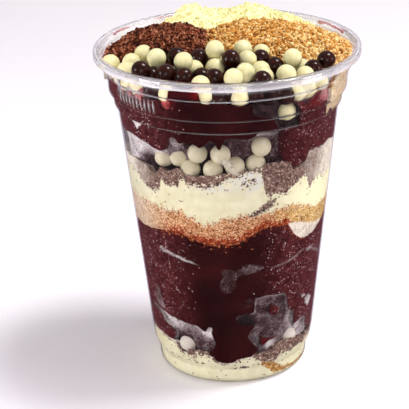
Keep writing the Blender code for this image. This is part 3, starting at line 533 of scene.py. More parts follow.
def rough(points, size, seed=0):
    """Noise with two finer octaves, each at half the size and half the height."""
    coarse, middle = noise(points, size, seed), noise(points, size / 2, seed + 1)
    return coarse + middle / 2 + noise(points, size / 4, seed + 2) / 4


def smooth_step(values, low, high):
    """0 below low, 1 above high and a smooth S between them."""
    share = np.clip((values - low) / (high - low), 0, 1)
    return share * share * (3 - 2 * share)


def in_front(azimuths, middle, close, far):
    """1 closer than an angle to the middle of the front, 0 past another, and a smooth S between them."""
    return smooth_step(-np.abs(azimuths - middle), -far, -close)


def aside(azimuths, middle):
    """How far azimuths lie from one of them, the short way round, from -180 to 180 degrees."""
    return (azimuths - middle + FULL_TURN / 2) % FULL_TURN - FULL_TURN / 2


def on_wall(azimuths, radii, heights):
    """Points (r sin a, -r cos a, z) from arrays of azimuths, radii and heights."""
    angles = np.radians(azimuths)
    return np.stack(np.broadcast_arrays(radii * np.sin(angles), -radii * np.cos(angles), heights), axis=-1)


def rounded(corners):
    """A profile whose corners are quadratic Bezier arcs from one edge to the next."""
    corners = np.array(corners, dtype=float)
    line = [corners[0, :2]]
    share = np.linspace(0, 1, ARC_POINTS)[:, None]
    for before, here, after in zip(corners[:-2], corners[1:-1], corners[2:]):
        back, on = before[:2] - here[:2], after[:2] - here[:2]
        start = here[:2] + back * min(here[2] / np.linalg.norm(back), ARC_REACH)
        end = here[:2] + on * min(here[2] / np.linalg.norm(on), ARC_REACH)
        line.extend((1 - share) ** 2 * start + 2 * share * (1 - share) * here[:2] + share ** 2 * end)
    line.append(corners[-1, :2])
    return np.array(line)


def divided(line, longest):
    """A profile whose long edges are split into equal pieces no longer than the limit."""
    pieces = [line[:1]]
    for start, end in zip(line, line[1:]):
        count = max(1, math.ceil(np.linalg.norm(end - start) / longest))
        pieces.append(start + (end - start) * np.arange(1, count + 1)[:, None] / count)
    return np.concatenate(pieces)


def cup_profile(wall):
    """The closed profile: recess, foot, outside, lip, inside and floor. Each corner of the inside is moved
    in from its corner outside by wall * (m + n) / (1 + m . n), from the normals m and n of its edges."""
    outside = rounded(CUP_OUTSIDE + CUP_LIP)
    corners = np.array(CUP_OUTSIDE[2:])
    edges = np.diff(corners[:, :2], axis=0)
    normals = np.stack([-edges[:, 1], edges[:, 0]], axis=-1) / np.linalg.norm(edges, axis=1)[:, None]
    before, after = normals[:-1], normals[1:]
    moved = corners[1:-1].copy()
    moved[:, :2] += wall * (before + after) / (1 + (before * after).sum(axis=1))[:, None]
    inside = rounded(moved)
    (recess, _, _), (foot, _, _) = CUP_OUTSIDE[1:3]
    corner = rounded([(recess + 2.0, FOOT_FLOOR, 0), (foot - wall, FOOT_FLOOR, FOOT_ROUND),
                      (*inside[0], 0)])
    middle = [(recess - 0.4, CUP_FLOOR)]
    return (np.concatenate([outside, inside[::-1], corner[::-1][1:], middle]),
            np.concatenate([corner[1:-1], inside, outside[-1:]]))


CUP_PROFILE, INSIDE = cup_profile(WALL)


def inside_radius(heights):
    """Radius of the cup's inner wall at a height, between the profile's points."""
    return np.interp(heights, INSIDE[:, 1], INSIDE[:, 0])


def contour(corners, rag, seed):
    """Heights of a boundary at every column: straight between its corners, with ragged noise."""
    azimuths = food_azimuths()
    named = np.array(corners, dtype=float)
    heights = np.interp(azimuths, named[:, 0], named[:, 1], period=FULL_TURN)
    size, amount = rag
    circle = on_wall(azimuths, inside_radius(heights), 0.0)
    return heights + amount * rough(circle, size, seed)


def food_azimuths():
    """Azimuths of the columns of a layer's side."""
    return np.arange(FOOD_COLUMNS) * FULL_TURN / FOOD_COLUMNS - FULL_TURN / 2


def unrolled(azimuths, heights):
    """Places on the wall as millimetres along and up it."""
    along = np.radians(azimuths) * inside_radius(heights)
    return np.stack(np.broadcast_arrays(along, heights), axis=-1)


def patch(azimuths, heights, outline, soft, seed=3):
    """How far places lie in an outline: 1 inside, 0 outside, over a soft edge of uneven shape. A place is
    inside if a level line from it crosses the outline's edges an odd number of times."""
    size, amount = PATCH_RAG
    wall = on_wall(azimuths, inside_radius(heights), heights)
    uneven = np.stack([noise(wall, size, seed), noise(wall, size, seed + 9)], axis=-1)
    places = unrolled(azimuths, heights) + amount * uneven
    corners = unrolled(*np.array(outline, dtype=float).T)
    nearest = np.full(places.shape[:-1], np.inf)
    within = np.zeros(places.shape[:-1], dtype=bool)
    for start, end in zip(corners, np.roll(corners, -1, axis=0)):
        edge = end - start
        along = np.clip(((places - start) @ edge) / (edge @ edge), 0, 1)
        nearest = np.minimum(nearest, np.linalg.norm(places - start - along[..., None] * edge, axis=-1))
        straddles = (start[1] > places[..., 1]) != (end[1] > places[..., 1])
        rise = edge[1] if edge[1] else 1e-9
        within ^= straddles & (places[..., 0] < start[0] + (places[..., 1] - start[1]) * edge[0] / rise)
    return smooth_step(np.where(within, nearest, -nearest), -soft / 2, soft / 2)


def lights(azimuths, heights, spots):
    """The mean of some soft oval spots at each place, fading to 0 where none is near. The weight of a spot
    is exp(-(across / width)^2 - (up / tall)^2)."""
    total = np.zeros(np.broadcast(azimuths, heights).shape)
    weights = np.full(total.shape, 1e-6)
    for azimuth, height, width, tall, light in spots:
        across = aside(azimuths, azimuth) / width
        weight = np.exp(-(across ** 2 + ((heights - height) / tall) ** 2))
        total += weight * light
        weights += weight
    return total / weights * np.clip(weights * 3, 0, 1)


def rubbed(azimuths, heights, places):
    """1 within a small circle round each place on the wall, over a soft edge, and 0 outside."""
    share = np.zeros(heights.shape)
    for azimuth, height, radius in places:
        across = np.radians(aside(azimuths, azimuth)) * inside_radius(heights)
        away = np.hypot(across, heights - height)
        share = np.maximum(share, smooth_step(-away, -radius - RUBBED_EDGE, -radius + RUBBED_EDGE))
    return share


def near(heights, boundary, reach):
    """1 at a boundary, and less with distance from it, as exp(-distance / reach)."""
    return np.exp(-np.abs(heights - boundary) / reach)


def unit_ball(columns, rows):
    """Points and faces of a ball of radius 1: (sin v cos u, sin v sin u, cos v), with a point at each
    pole."""
    v = np.linspace(0, np.pi, rows + 1)[1:-1, None]
    u = np.arange(columns) * 2 * np.pi / columns
    grid = np.stack(np.broadcast_arrays(np.sin(v) * np.cos(u), np.sin(v) * np.sin(u), np.cos(v)), axis=-1)
    points = np.concatenate([grid.reshape(-1, 3), [(0, 0, 1), (0, 0, -1)]])
    here = np.arange(columns)
    after = (here + 1) % columns
    row = np.arange(rows - 2)[:, None] * columns
    quads = np.stack([row + here, row + columns + here, row + columns + after, row + after], axis=-1)
    top, last = len(points) - 2, (rows - 2) * columns
    caps = np.concatenate([np.stack([here, after, np.full(columns, top)], axis=-1),
                           np.stack([last + after, last + here, np.full(columns, top + 1)], axis=-1)])
    return points, [quads.reshape(-1, 4), caps]


def turns(count, rng):
    """Random turning matrices, from unit quaternions."""
    q = rng.normal(size=(count, 4))
    w, x, y, z = (q / np.linalg.norm(q, axis=1, keepdims=True)).T
    rows = [[1 - 2 * (y * y + z * z), 2 * (x * y - w * z), 2 * (x * z + w * y)],
            [2 * (x * y + w * z), 1 - 2 * (x * x + z * z), 2 * (y * z - w * x)],
            [2 * (x * z - w * y), 2 * (y * z + w * x), 1 - 2 * (x * x + y * y)]]
    return np.moveaxis(np.array(rows), 2, 0)


def copies(shape, places, sizes, uneven, rng):
    """Copies of a shape at places: turned, stretched by sizes, each point moved in or out at random."""
    points, faces = shape
    count, each = len(places), len(points)
    jitter = 1 + uneven * rng.uniform(-1, 1, (count, each, 1))
    shaped = points[None] * sizes[:, None] * jitter
    placed = places[:, None] + np.einsum("nij,nkj->nki", turns(count, rng), shaped)
    shift = np.arange(count)[:, None, None] * each
    return placed.reshape(-1, 3), [(face[None] + shift).reshape(-1, face.shape[1]) for face in faces]


# Meshes


def new_piece(name, points, faces, finish, slot, replaced=(), smooth=True, recalculate=False, **values):
    """A piece of the cup from points in millimetres, faces and one number for each point and attribute."""
    mesh = bpy.data.meshes.new(name)
    mesh.vertices.add(len(points))
    mesh.vertices.foreach_set("co", (points * MM).astype(np.float32).ravel())
    corners = np.concatenate([face.ravel() for face in faces]).astype(np.int32)
    sizes = np.concatenate([np.full(len(face), face.shape[1]) for face in faces])
    mesh.loops.add(len(corners))
    mesh.loops.foreach_set("vertex_index", corners)
    mesh.polygons.add(len(sizes))
    mesh.polygons.foreach_set("loop_start", (np.cumsum(sizes) - sizes).astype(np.int32))
    mesh.update(calc_edges=True)
    for attribute, numbers in values.items():
        layer = mesh.attributes.new(attribute, "FLOAT", "POINT")
        layer.data.foreach_set("value", np.ascontiguousarray(numbers, dtype=np.float32).ravel())
    if recalculate:
        shape = bmesh.new()
        shape.from_mesh(mesh)
        bmesh.ops.recalc_face_normals(shape, faces=shape.faces)
        shape.to_mesh(mesh)
        shape.free()
    if smooth:
        mesh.shade_smooth()
    mesh.materials.append(finish)
    piece = bpy.data.objects.new(name, mesh)
    bpy.context.scene.collection.objects.link(piece)
    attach(piece, "root")
    if replaced:
        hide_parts(*replaced)


def round_faces(rows, columns):
    """Faces of a grid that closes on itself round the cup, with a fan at each end to an added point."""
    here = np.arange(columns)
    after = (here + 1) % columns
    row = np.arange(rows - 1)[:, None] * columns
    quads = np.stack([row + here, row + after, row + columns + after, row + columns + here], axis=-1)
    last, centre = (rows - 1) * columns, rows * columns
    low = np.stack([after, here, np.full(columns, centre)], axis=-1)
    high = np.stack([last + here, last + after, np.full(columns, centre + 1)], axis=-1)
    return [quads.reshape(-1, 4), np.concatenate([low, high])]


def closed_round(grid):
    """Points of a grid round the cup, with the middle of its first and its last ring added."""
    return np.concatenate([grid.reshape(-1, 3), [grid[0].mean(axis=0), grid[-1].mean(axis=0)]])


def padded(values):
    """Numbers of a grid round the cup, with zeros for its two added points."""
    return np.concatenate([values.ravel(), [0.0, 0.0]])


def sheet_faces(rows, columns):
    """Faces of an open grid, closed underneath by a fan from its whole edge to an added point."""
    index = np.arange(rows * columns).reshape(rows, columns)
    quads = np.stack([index[:-1, :-1], index[1:, :-1], index[1:, 1:], index[:-1, 1:]], axis=-1)
    edge = np.concatenate([index[0, :-1], index[:-1, -1], index[-1, :0:-1], index[:0:-1, 0]])
    fan = np.stack([edge, np.roll(edge, -1), np.full(len(edge), rows * columns)], axis=-1)
    return [quads.reshape(-1, 4), fan]


# Materials


def feed(target, inputs):
    """Set or link inputs of a shader node. A hex colour is turned to linear."""
    for socket, value in inputs.items():
        if isinstance(value, bpy.types.NodeSocket):
            target.id_data.links.new(value, target.inputs[socket])
        elif isinstance(value, str):
            target.inputs[socket].default_value = (*linear(value), 1.0)
        else:
            target.inputs[socket].default_value = value


def node(tree, kind, inputs, output, stops=(), **settings):
    """Add a shader node with its settings, its inputs and, for a colour ramp, its stops as (position, hex
    colour), and return one of its outputs."""
    made = tree.nodes.new("ShaderNode" + kind)
    for name, value in settings.items():
        setattr(made, name, value)
    elements = made.color_ramp.elements if stops else []
    while len(elements) < len(stops):
        elements.new(0.5)
    for element, (position, code) in zip(elements, stops):
        element.position = position
        element.color = (*linear(code), 1.0)
    feed(made, inputs)
    return made.outputs[output]


def new_material(name):
    """A material, its bare node tree, and the piece's own coordinates."""
    material = bpy.data.materials.new(name)
    material.use_nodes = True
    tree = material.node_tree
    return material, tree, node(tree, "TexCoord", {}, "Object")


def soft_patches(tree, place, size, levels, values=(0.0, 1.0), detail=2.0):
    """Patches of a size in millimetres: noise that takes a number smoothly from one value to another as it
    rises from one level to another."""
    clouds = node(tree, "TexNoise", {"Vector": place, "Scale": 1 / (size * MM), "Detail": detail}, "Fac")
    return node(tree, "MapRange", {"Value": clouds, "From Min": levels[0], "From Max": levels[1],
                                   "To Min": values[0], "To Max": values[1]}, "Result", **SMOOTH)


def clouded_colour(tree, place, size, stops, detail=3.0):
    """A colour that wanders through some stops, in clouds of a size in millimetres."""
    clouds = node(tree, "TexNoise", {"Vector": place, "Scale": 1 / (size * MM), "Detail": detail}, "Fac")
    return node(tree, "ValToRGB", {"Fac": clouds}, "Color", stops)


def lumpy_relief(tree, place, size, depth, strength=0.5, detail=3.0):
    """The relief of lumps of a size and a depth in millimetres."""
    lumps = node(tree, "TexNoise", {"Vector": place, "Scale": 1 / (size * MM), "Detail": detail}, "Fac")
    return node(tree, "Bump", {"Height": lumps, "Strength": strength, "Distance": depth * MM}, "Normal")


def clear_plastic():
    """Clear polypropylene sheet, thermoformed: glossy, faintly cloudy where it bends or is thick, and
    cloudier in lines and patches where its haze attribute paints highlights and a glancing sheen. Light and
    the glancing eye pass straight through, as so thin a sheet shows no dark edge."""
    material, tree, place = new_material("clear thermoformed polypropylene")
    uneven = node(tree, "TexNoise", {"Vector": place, "Scale": 1 / (9.0 * MM)}, "Fac")
    faint = node(tree, "Math", {0: uneven, 1: 0.003}, "Value", operation="MULTIPLY")
    haze = node(tree, "Attribute", {}, "Fac", attribute_name="haze")
    cloud = node(tree, "Math", {0: haze, 1: faint}, "Value", operation="ADD")
    clear = node(tree, "Math", {0: 1.0, 1: cloud}, "Value", operation="SUBTRACT", use_clamp=True)
    shader = tree.nodes[SHADER]
    feed(shader, {"Base Color": "#faf9fa", "Roughness": 0.04, "IOR": 1.49, "Transmission Weight": clear})
    facing = node(tree, "LayerWeight", {"Blend": 0.5}, "Facing")
    glancing = node(tree, "MapRange", {"Value": facing, "From Min": 0.62, "From Max": 0.95, "To Max": 0.8},
                    "Result", **SMOOTH)
    lamp = node(tree, "LightPath", {}, "Is Shadow Ray")
    share = node(tree, "Math", {0: lamp, 1: glancing}, "Value", operation="MAXIMUM")
    passes = node(tree, "BsdfTransparent", {"Color": "#f4f0f6"}, "BSDF")
    mixed = node(tree, "MixShader", {0: share, 1: shader.outputs["BSDF"], 2: passes}, "Shader")
    feed(tree.nodes["Material Output"], {"Surface": mixed})
    return material


def frosted(tree, place, colour, film_stops=COOL_FILM):
    """Cover a colour with frost and film where the piece's frost attribute says so, lighter or darker as its
    pale attribute says, which in the pockets holds painted light and shade besides the film's own paleness.
    It is thinner and thicker from place to place, with pinholes."""
    patchy = soft_patches(tree, place, 2.6, (0.35, 0.65), (-0.09, 0.09), 4.0)
    pinholes = soft_patches(tree, place, 0.6, (0.3, 0.7), (-0.1, 0.1), 1.0)
    grain = node(tree, "Math", {0: patchy, 1: pinholes}, "Value", operation="ADD")
    pale = node(tree, "Attribute", {}, "Fac", attribute_name="pale")
    light = node(tree, "Math", {0: pale, 1: grain}, "Value", operation="ADD", use_clamp=True)
    film = node(tree, "ValToRGB", {"Fac": light}, "Color", film_stops)
    thick = node(tree, "Math", {0: grain, 1: 1.1}, "Value", operation="ADD")
    frost = node(tree, "Attribute", {}, "Fac", attribute_name="frost")
    cover = node(tree, "Math", {0: frost, 1: thick}, "Value", operation="MULTIPLY", use_clamp=True)
    return node(tree, "Mix", {"Factor": cover, FIRST: colour, SECOND: film}, MIXED, **COLOURS)


def grains(tree, place, size):
    """Grains of a size: two random numbers for each, and the distance from its middle."""
    distance = node(tree, "TexVoronoi", {"Vector": place, "Scale": 1 / (size * MM)}, "Distance")
    tone = node(tree, "SeparateColor", {0: distance.node.outputs["Color"]}, "Red")
    return tone, tone.node.outputs["Green"], distance


def strays(tree, pick, name, colour, stops, tone):
    """Swap a share of the grains, stored on the piece's points, for grains of another kind."""
    share = node(tree, "Attribute", {}, "Fac", attribute_name=name)
    stray = node(tree, "Math", {0: pick, 1: share}, "Value", operation="LESS_THAN")
    other = node(tree, "ValToRGB", {"Fac": tone}, "Color", stops)
    return node(tree, "Mix", {"Factor": stray, FIRST: colour, SECOND: other}, MIXED, **COLOURS)


def icy_bloom(tree, place, ice):
    """The dark red of wet pulp, with a cloudy bloom of ice over it, and a painted sheen that makes it paler
    towards the cup's sides.
    """
    wet = clouded_colour(tree, place, 12.0, [(0.3, "#210304"), (0.55, "#2d0708"), (0.75, "#3c0d0e")], 4.0)
    patchy = soft_patches(tree, place, 2.2, (0.3, 0.65), (0.2, 1.0), 5.0)
    bloom = node(tree, "Math", {0: ice, 1: patchy}, "Value", operation="MULTIPLY")
    icy = node(tree, "Mix", {"Factor": bloom, FIRST: wet, SECOND: "#582526"}, MIXED, **COLOURS)
    # Painted sheen: paler pink where the wall is seen at a glancing angle, towards the cup's sides
    edge = node(tree, "Attribute", {}, "Fac", attribute_name="edge")
    part = node(tree, "Math", {0: edge, 1: 0.45}, "Value", operation="MULTIPLY")
    return node(tree, "Mix", {"Factor": part, FIRST: icy, SECOND: "#743a42"}, MIXED, **COLOURS)


def ice_crystals(tree, place, ice, colour):
    """Strew clusters of small ice crystals over a colour, and give their two random numbers too."""
    tone, pick, distance = grains(tree, place, ICE_GRAIN)
    cluster = soft_patches(tree, place, 4.0, (0.4, 0.64), (0.08, 0.85), 4.0)
    share = node(tree, "Math", {0: ice, 1: cluster}, "Value", operation="MULTIPLY")
    chosen = node(tree, "Math", {0: pick, 1: share}, "Value", operation="LESS_THAN")
    small = node(tree, "MapRange", {"Value": distance, "From Min": 0.42, "From Max": 0.24}, "Result",
                 **SMOOTH)
    shown = node(tree, "Math", {0: chosen, 1: small}, "Value", operation="MULTIPLY")
    crystal = node(tree, "ValToRGB", {"Fac": tone}, "Color",
                   [(0.0, "#642a33"), (0.55, "#8e5058"), (0.85, "#dcb0b4"), (1.0, "#fff0ee")])
    specked = node(tree, "Mix", {"Factor": shown, FIRST: colour, SECOND: crystal}, MIXED, **COLOURS)
    return specked, tone, pick


def acai_pulp():
    """Frozen acai pulp, spooned in: dark and wet at the front, and paler at the sides, with ice crystals and
    a painted sheen of the glancing wall. Pressed wet against the wall, it has next to no gloss of its own."""
    material, tree, place = new_material("frozen acai pulp")
    ice = node(tree, "Attribute", {}, "Fac", attribute_name="ice")
    specked, tone, pick = ice_crystals(tree, place, ice, icy_bloom(tree, place, ice))
    soaked = strays(tree, pick, "stray", specked, [(0.0, "#52160e"), (0.5, "#8e3c20"), (1.0, "#c47c4c")],
                    tone)
    stain = node(tree, "Attribute", {}, "Fac", attribute_name="stain")
    red = node(tree, "Math", {0: stain, 1: 0.85}, "Value", operation="MULTIPLY")
    stained = node(tree, "Mix", {"Factor": red, FIRST: soaked, SECOND: "#781418"}, MIXED, **COLOURS)
    feed(tree.nodes[SHADER], {"Base Color": frosted(tree, place, stained), "Roughness": 0.42,
                              "Specular IOR Level": 0.03, "Normal": lumpy_relief(tree, place, 1.6, 0.25)})
    return material


def thin_pulp():
    """Pulp wiped thin on the clear rim: the light behind makes it pink, and deeper where it gathers."""
    material, tree, place = new_material("acai pulp smeared thin")
    pink = clouded_colour(tree, place, 1.4, [(0.3, "#a8606e"), (0.5, "#c8949e"), (0.7, "#dcb8be")])
    feed(tree.nodes[SHADER], {"Base Color": pink, "Roughness": 0.35, "Specular IOR Level": 0.2})
    return material


def frosted_pocket():
    """Air pockets between balls, frosted over: cloudy film on the wall and shade behind it, both matt."""
    material, tree, place = new_material("frosted air pocket")
    feed(tree.nodes[SHADER], {"Base Color": frosted(tree, place, "#1b1416"), "Roughness": 0.6,
                              "Specular IOR Level": 0.05, "Normal": lumpy_relief(tree, place, 2.0, 0.4)})
    return material


def milk_powder():
    """Whole milk powder, pressed to a paste against the wall: matt cream, yellower at the right and cooler
    where chilled, with grains of its neighbours."""
    material, tree, place = new_material("whole milk powder")
    cream = clouded_colour(tree, place, 3.5, [(0.3, "#dbd5b1"), (0.5, "#e1dcbc"), (0.7, "#e9e5c7")], 5.0)
    side = node(tree, "SeparateXYZ", {0: place}, "X")
    right = node(tree, "MapRange", {"Value": side, "From Min": 12.0 * MM, "From Max": 34.0 * MM}, "Result",
                 **SMOOTH)
    warm = node(tree, "Math", {0: right, 1: 0.8}, "Value", operation="MULTIPLY")
    yellow = node(tree, "Mix", {"Factor": warm, FIRST: cream, SECOND: "#f7f5cf"}, MIXED, **COLOURS)
    patchy = soft_patches(tree, place, 1.8, (0.35, 0.6), detail=3.0)
    chill = node(tree, "Attribute", {}, "Fac", attribute_name="chill")
    cold = node(tree, "Math", {0: chill, 1: patchy}, "Value", operation="MULTIPLY")
    cool = node(tree, "Mix", {"Factor": cold, FIRST: yellow, SECOND: "#dcdad8"}, MIXED, **COLOURS)
    tone, pick, _ = grains(tree, place, WALL_POWDER_GRAIN)
    soiled = strays(tree, pick, "soil", cool, [(0.1, "#41342f"), (0.6, "#7c6056"), (0.9, "#a58d80")], tone)
    nutty = strays(tree, pick, "stain", soiled, [(0.1, "#7a4a22"), (0.5, "#b3834a"), (0.9, "#d3a866")], tone)
    feed(tree.nodes[SHADER], {"Base Color": nutty, "Roughness": 0.9, "Specular IOR Level": 0.1,
                              "Normal": lumpy_relief(tree, place, 0.9, 0.3)})
    return material


def heaped_powder():
    """Whole milk powder, heaped loose: matt and pale yellow, with painted shade that makes it a deeper yellow
    between the lumps.
    """
    material, tree, place = new_material("heaped milk powder")
    lumps = node(tree, "TexNoise", {"Vector": place, "Scale": 1 / (1.6 * MM), "Detail": 5.0}, "Fac")
    # Painted shade: the colour follows the noise of the relief, darker in the hollows between lumps
    yellow = node(tree, "ValToRGB", {"Fac": lumps}, "Color",
                  [(0.32, "#eadf92"), (0.5, "#f7f0b4"), (0.65, "#fdfad0")])
    relief = node(tree, "Bump", {"Height": lumps, "Strength": 0.7, "Distance": 0.8 * MM}, "Normal")
    feed(tree.nodes[SHADER], {"Base Color": yellow, "Roughness": 0.9, "Specular IOR Level": 0.1,
                              "Normal": relief})
    return material


def crumbs(name, size, stops, dark, far_stops=None):
    """Crumbs pressed against the wall, rough and dry: each cell a grain with its own tone, and shade between
    them. Where the piece's far attribute says so, the tones are those of the other end of the layer."""
    material, tree, place = new_material(name)
    tone, pick, distance = grains(tree, place, size)
    colour = node(tree, "ValToRGB", {"Fac": tone}, "Color", stops)
    if far_stops:
        far = node(tree, "Attribute", {}, "Fac", attribute_name="far")
        other = node(tree, "ValToRGB", {"Fac": tone}, "Color", far_stops)
        colour = node(tree, "Mix", {"Factor": far, FIRST: colour, SECOND: other}, MIXED, **COLOURS)
    gap = node(tree, "MapRange", {"Value": distance, "From Min": 0.45, "From Max": 0.85}, "Result", **SMOOTH)
    between = node(tree, "Math", {0: gap, 1: 0.5}, "Value", operation="MULTIPLY")
    shaded = node(tree, "Mix", {"Factor": between, FIRST: colour, SECOND: dark}, MIXED, **COLOURS)
    dusky = soft_patches(tree, place, 4.0, (0.5, 0.75), (0.0, 0.35), 3.0)
    mottled = node(tree, "Mix", {"Factor": dusky, FIRST: shaded, SECOND: dark}, MIXED, **COLOURS)
    creamy = strays(tree, pick, "stray", mottled, [(0.0, "#c9bba2"), (1.0, "#e9e0c8")], tone)
    soaked = strays(tree, pick, "stain", creamy, [(0.0, "#5c180c"), (0.5, "#933a20"), (1.0, "#c87048")],
                    tone)
    relief = node(tree, "Bump", {"Height": distance, "Strength": 0.4, "Distance": 0.3 * MM}, "Normal")
    feed(tree.nodes[SHADER], {"Base Color": frosted(tree, place, soaked, WARM_FILM), "Roughness": 0.8,
                              "Specular IOR Level": 0.05, "Normal": relief})
    return material


def loose_crumb(name, stops):
    """Loose dry crumbs, nearly matt: each a tone of its own, from the number stored on its points."""
    material, tree, place = new_material(name)
    own = node(tree, "Attribute", {}, "Fac", attribute_name="tone")
    tone = node(tree, "ValToRGB", {"Fac": own}, "Color", stops)
    shade = soft_patches(tree, place, 0.5, (0.35, 0.65), (0.0, 0.25))
    shaded = node(tree, "Mix", {"Factor": shade, FIRST: tone, SECOND: stops[0][1]}, MIXED, **COLOURS)
    feed(tree.nodes[SHADER], {"Base Color": shaded, "Roughness": 0.7, "Specular IOR Level": 0.08})
    return material


def chocolate_shell(name, stops, roughness, spots, gloss=0.3):
    """Compound chocolate panned over crisp cereal: a satin shell with faint clouding."""
    material, tree, place = new_material(name)
    tone = clouded_colour(tree, place, 2.6, stops)
    spot = soft_patches(tree, place, 0.8, (0.62, 0.72), (0.0, 0.35))
    spotted = node(tree, "Mix", {"Factor": spot, FIRST: tone, SECOND: spots}, MIXED, **COLOURS)
    feed(tree.nodes[SHADER], {"Base Color": spotted, "Roughness": roughness, "Specular IOR Level": gloss,
                              "Normal": lumpy_relief(tree, place, 1.8, 0.12, 0.4, 2.0)})
    return material


def studio_paper(colour):
    """Matt white paper with a faint mottle, dark where it is mirrored, as if by a card, so that the cup's
    plastic stays clear."""
    material, tree, place = new_material("matt white paper")
    mottle = soft_patches(tree, place, 90.0, (0.3, 0.7), (0.0, 0.3), 3.0)
    white = node(tree, "Mix", {"Factor": mottle, FIRST: (*colour, 1.0), SECOND: "#ffffff"}, MIXED, **COLOURS)
    shader = tree.nodes[SHADER]
    feed(shader, {"Base Color": white, "Roughness": 0.9})
    mirrored = node(tree, "LightPath", {}, "Glossy Depth")
    share = node(tree, "Math", {0: mirrored, 1: 1.0}, "Value", operation="MINIMUM")
    card = node(tree, "BsdfDiffuse", {"Color": "#303034"}, "BSDF")
    mixed = node(tree, "MixShader", {0: share, 1: shader.outputs["BSDF"], 2: card}, "Shader")
    feed(tree.nodes["Material Output"], {"Surface": mixed})
    return material


# The cup and its layers


def cup_azimuths():
    """Azimuths of the cup's columns: even steps, and closer ones across the groups of ribs."""
    half = RIB_COUNT * RIB_SPACING / 2
    even = np.arange(0, FULL_TURN, CUP_COLUMN)
    columns = []
    for middle in RIB_GROUPS:
        even = even[np.abs(aside(even, middle)) > half + CUP_COLUMN / 3]
        columns.append(middle + np.linspace(-half, half, RIB_COUNT * RIB_COLUMNS + 1))
    return np.sort(np.concatenate([even, *columns]) % FULL_TURN)


def rib_lift(azimuths, heights):
    """The grip ribs: waves of the form sin^4 across each group, times a step up and a step down."""
    half = RIB_COUNT * RIB_SPACING / 2
    waves = np.zeros_like(azimuths)
    for middle in RIB_GROUPS:
        across = aside(azimuths, middle)
        waves += np.where(np.abs(across) < half, np.sin(np.pi * (across + half) / RIB_SPACING) ** 4, 0)
    upright = smooth_step(heights, RIB_LOW - RIB_END, RIB_LOW)
    upright = upright * smooth_step(-heights, -RIB_HIGH - RIB_END, -RIB_HIGH)
    return waves * upright


def make_cup(wall, rib):
    """The cup: its profile turned about the axis, with its ribs raised outside. It is cloudy at its rings,
    where thin lines of cloud paint highlights, on its lip, more towards the sides where that paints a
    glancing sheen, on its ribs, and where frost lies inside."""
    profile = divided(CUP_PROFILE, CUP_ROW)
    radii, heights = profile[:, 0][:, None], profile[:, 1][:, None]
    azimuths = cup_azimuths()
    outer = radii > inside_radius(heights) + wall / 2
    lift = rib_lift(azimuths, heights) * outer
    grid = on_wall(azimuths[None], radii + rib * lift, heights)
    # Painted sheen and highlights: more cloud on the lip towards the cup's sides, as seen from the front, and
    # thin lines of it at the bends along the rings
    sides = smooth_step(1 - np.cos(np.radians(azimuths)), 0.3, 1.2)
    haze = RIB_CLOUD * lift ** 2 + (LIP_CLOUD + LIP_SIDE_SHEEN * sides) * smooth_step(heights, *LIP_HEIGHTS)
    for bend, cloud in BEND_CLOUD_AND_HIGHLIGHTS:
        haze = haze + cloud * np.exp(-((heights - bend) / BEND_HEIGHT) ** 2)
    broken = smooth_step(rough(grid, 5.0, 81), -1.0, 0.6)
    haze = haze + (1 - outer) * lights(azimuths[None], heights, RIM_FROST) * broken
    faces = round_faces(len(grid), len(azimuths))
    new_piece("cup_shell", closed_round(grid[::-1]), faces, clear_plastic(), "clear_plastic", ["cup"],
              recalculate=True, haze=padded(haze[::-1]))


def layer_side(foot, top, row=FOOD_ROW):
    """Azimuths and heights of a layer's side: columns from its foot to its top."""
    rows = max(2, math.ceil((top - foot).max() / row))
    share = np.linspace(0, 1, rows + 1)[:, None]
    return food_azimuths()[None], foot + (top - foot) * share


def finished_layer(name, azimuths, heights, back, finish, slot, replaced, dishes=(0.0, 0.0), **values):
    """A layer: its side stands back from the wall by an amount, and closes underneath and on top, where
    it may be dished by an amount each."""
    side = on_wall(azimuths, inside_radius(heights) + REACH, heights)
    front = smooth_step(np.cos(np.radians(azimuths)), *POCKET_TURN)[..., None]
    inward = on_wall(azimuths, -1.0, 0.0) * (1 - front) + np.array(POCKET_RUN) * front
    size, amount = SIDE_GRAIN
    side[..., :2] *= 1 + amount * rough(side, size, 5)[..., None]
    side = side + inward * np.broadcast_to(back, heights.shape)[..., None]
    low, high = side[:1].copy(), side[-1:].copy()
    for ring, dish in zip((low, high), dishes):
        ring[..., :2] *= INNER_SHARE
        ring[..., 2] -= dish
    grid = np.concatenate([low, side, high])
    spread = {}
    for key, value in values.items():
        value = np.broadcast_to(value, heights.shape)
        spread[key] = padded(np.concatenate([value[:1], value, value[-1:]]))
    faces = round_faces(len(grid), FOOD_COLUMNS)
    new_piece(name, closed_round(grid), faces, finish, slot, replaced, **spread)


def covered(azimuths, heights, patches, spots, contacts=None):
    """How deep food stands back, how much frost covers it and how light that is, with its painted light and
    shade, from patches less the contacts in them. A painted highlight brightens the frost along a pocket's
    edge."""
    back = np.zeros(heights.shape)
    frost = np.zeros(heights.shape)
    edge = np.zeros(heights.shape)
    for depth, soft, cover, outline in patches.values():
        share = patch(azimuths, heights, outline, soft)
        back = np.maximum(back, depth * share)
        frost = np.maximum(frost, cover * share)
        # Painted highlight: a bright line of frost along the edge of each deep pocket
        if depth:
            wide = patch(azimuths, heights, outline, 1.6)
            edge = np.maximum(edge, 4 * wide * (1 - wide))
    for soft, outline in (contacts or {}).values():
        touching = 1 - patch(azimuths, heights, outline, soft)
        back, frost = back * touching, frost * touching
    broken = smooth_step(rough(on_wall(azimuths, inside_radius(heights), heights), 2.4, 91), -0.3, 0.7)
    return back, frost, np.clip(lights(azimuths, heights, spots) + 0.4 * edge * broken, 0, 1)


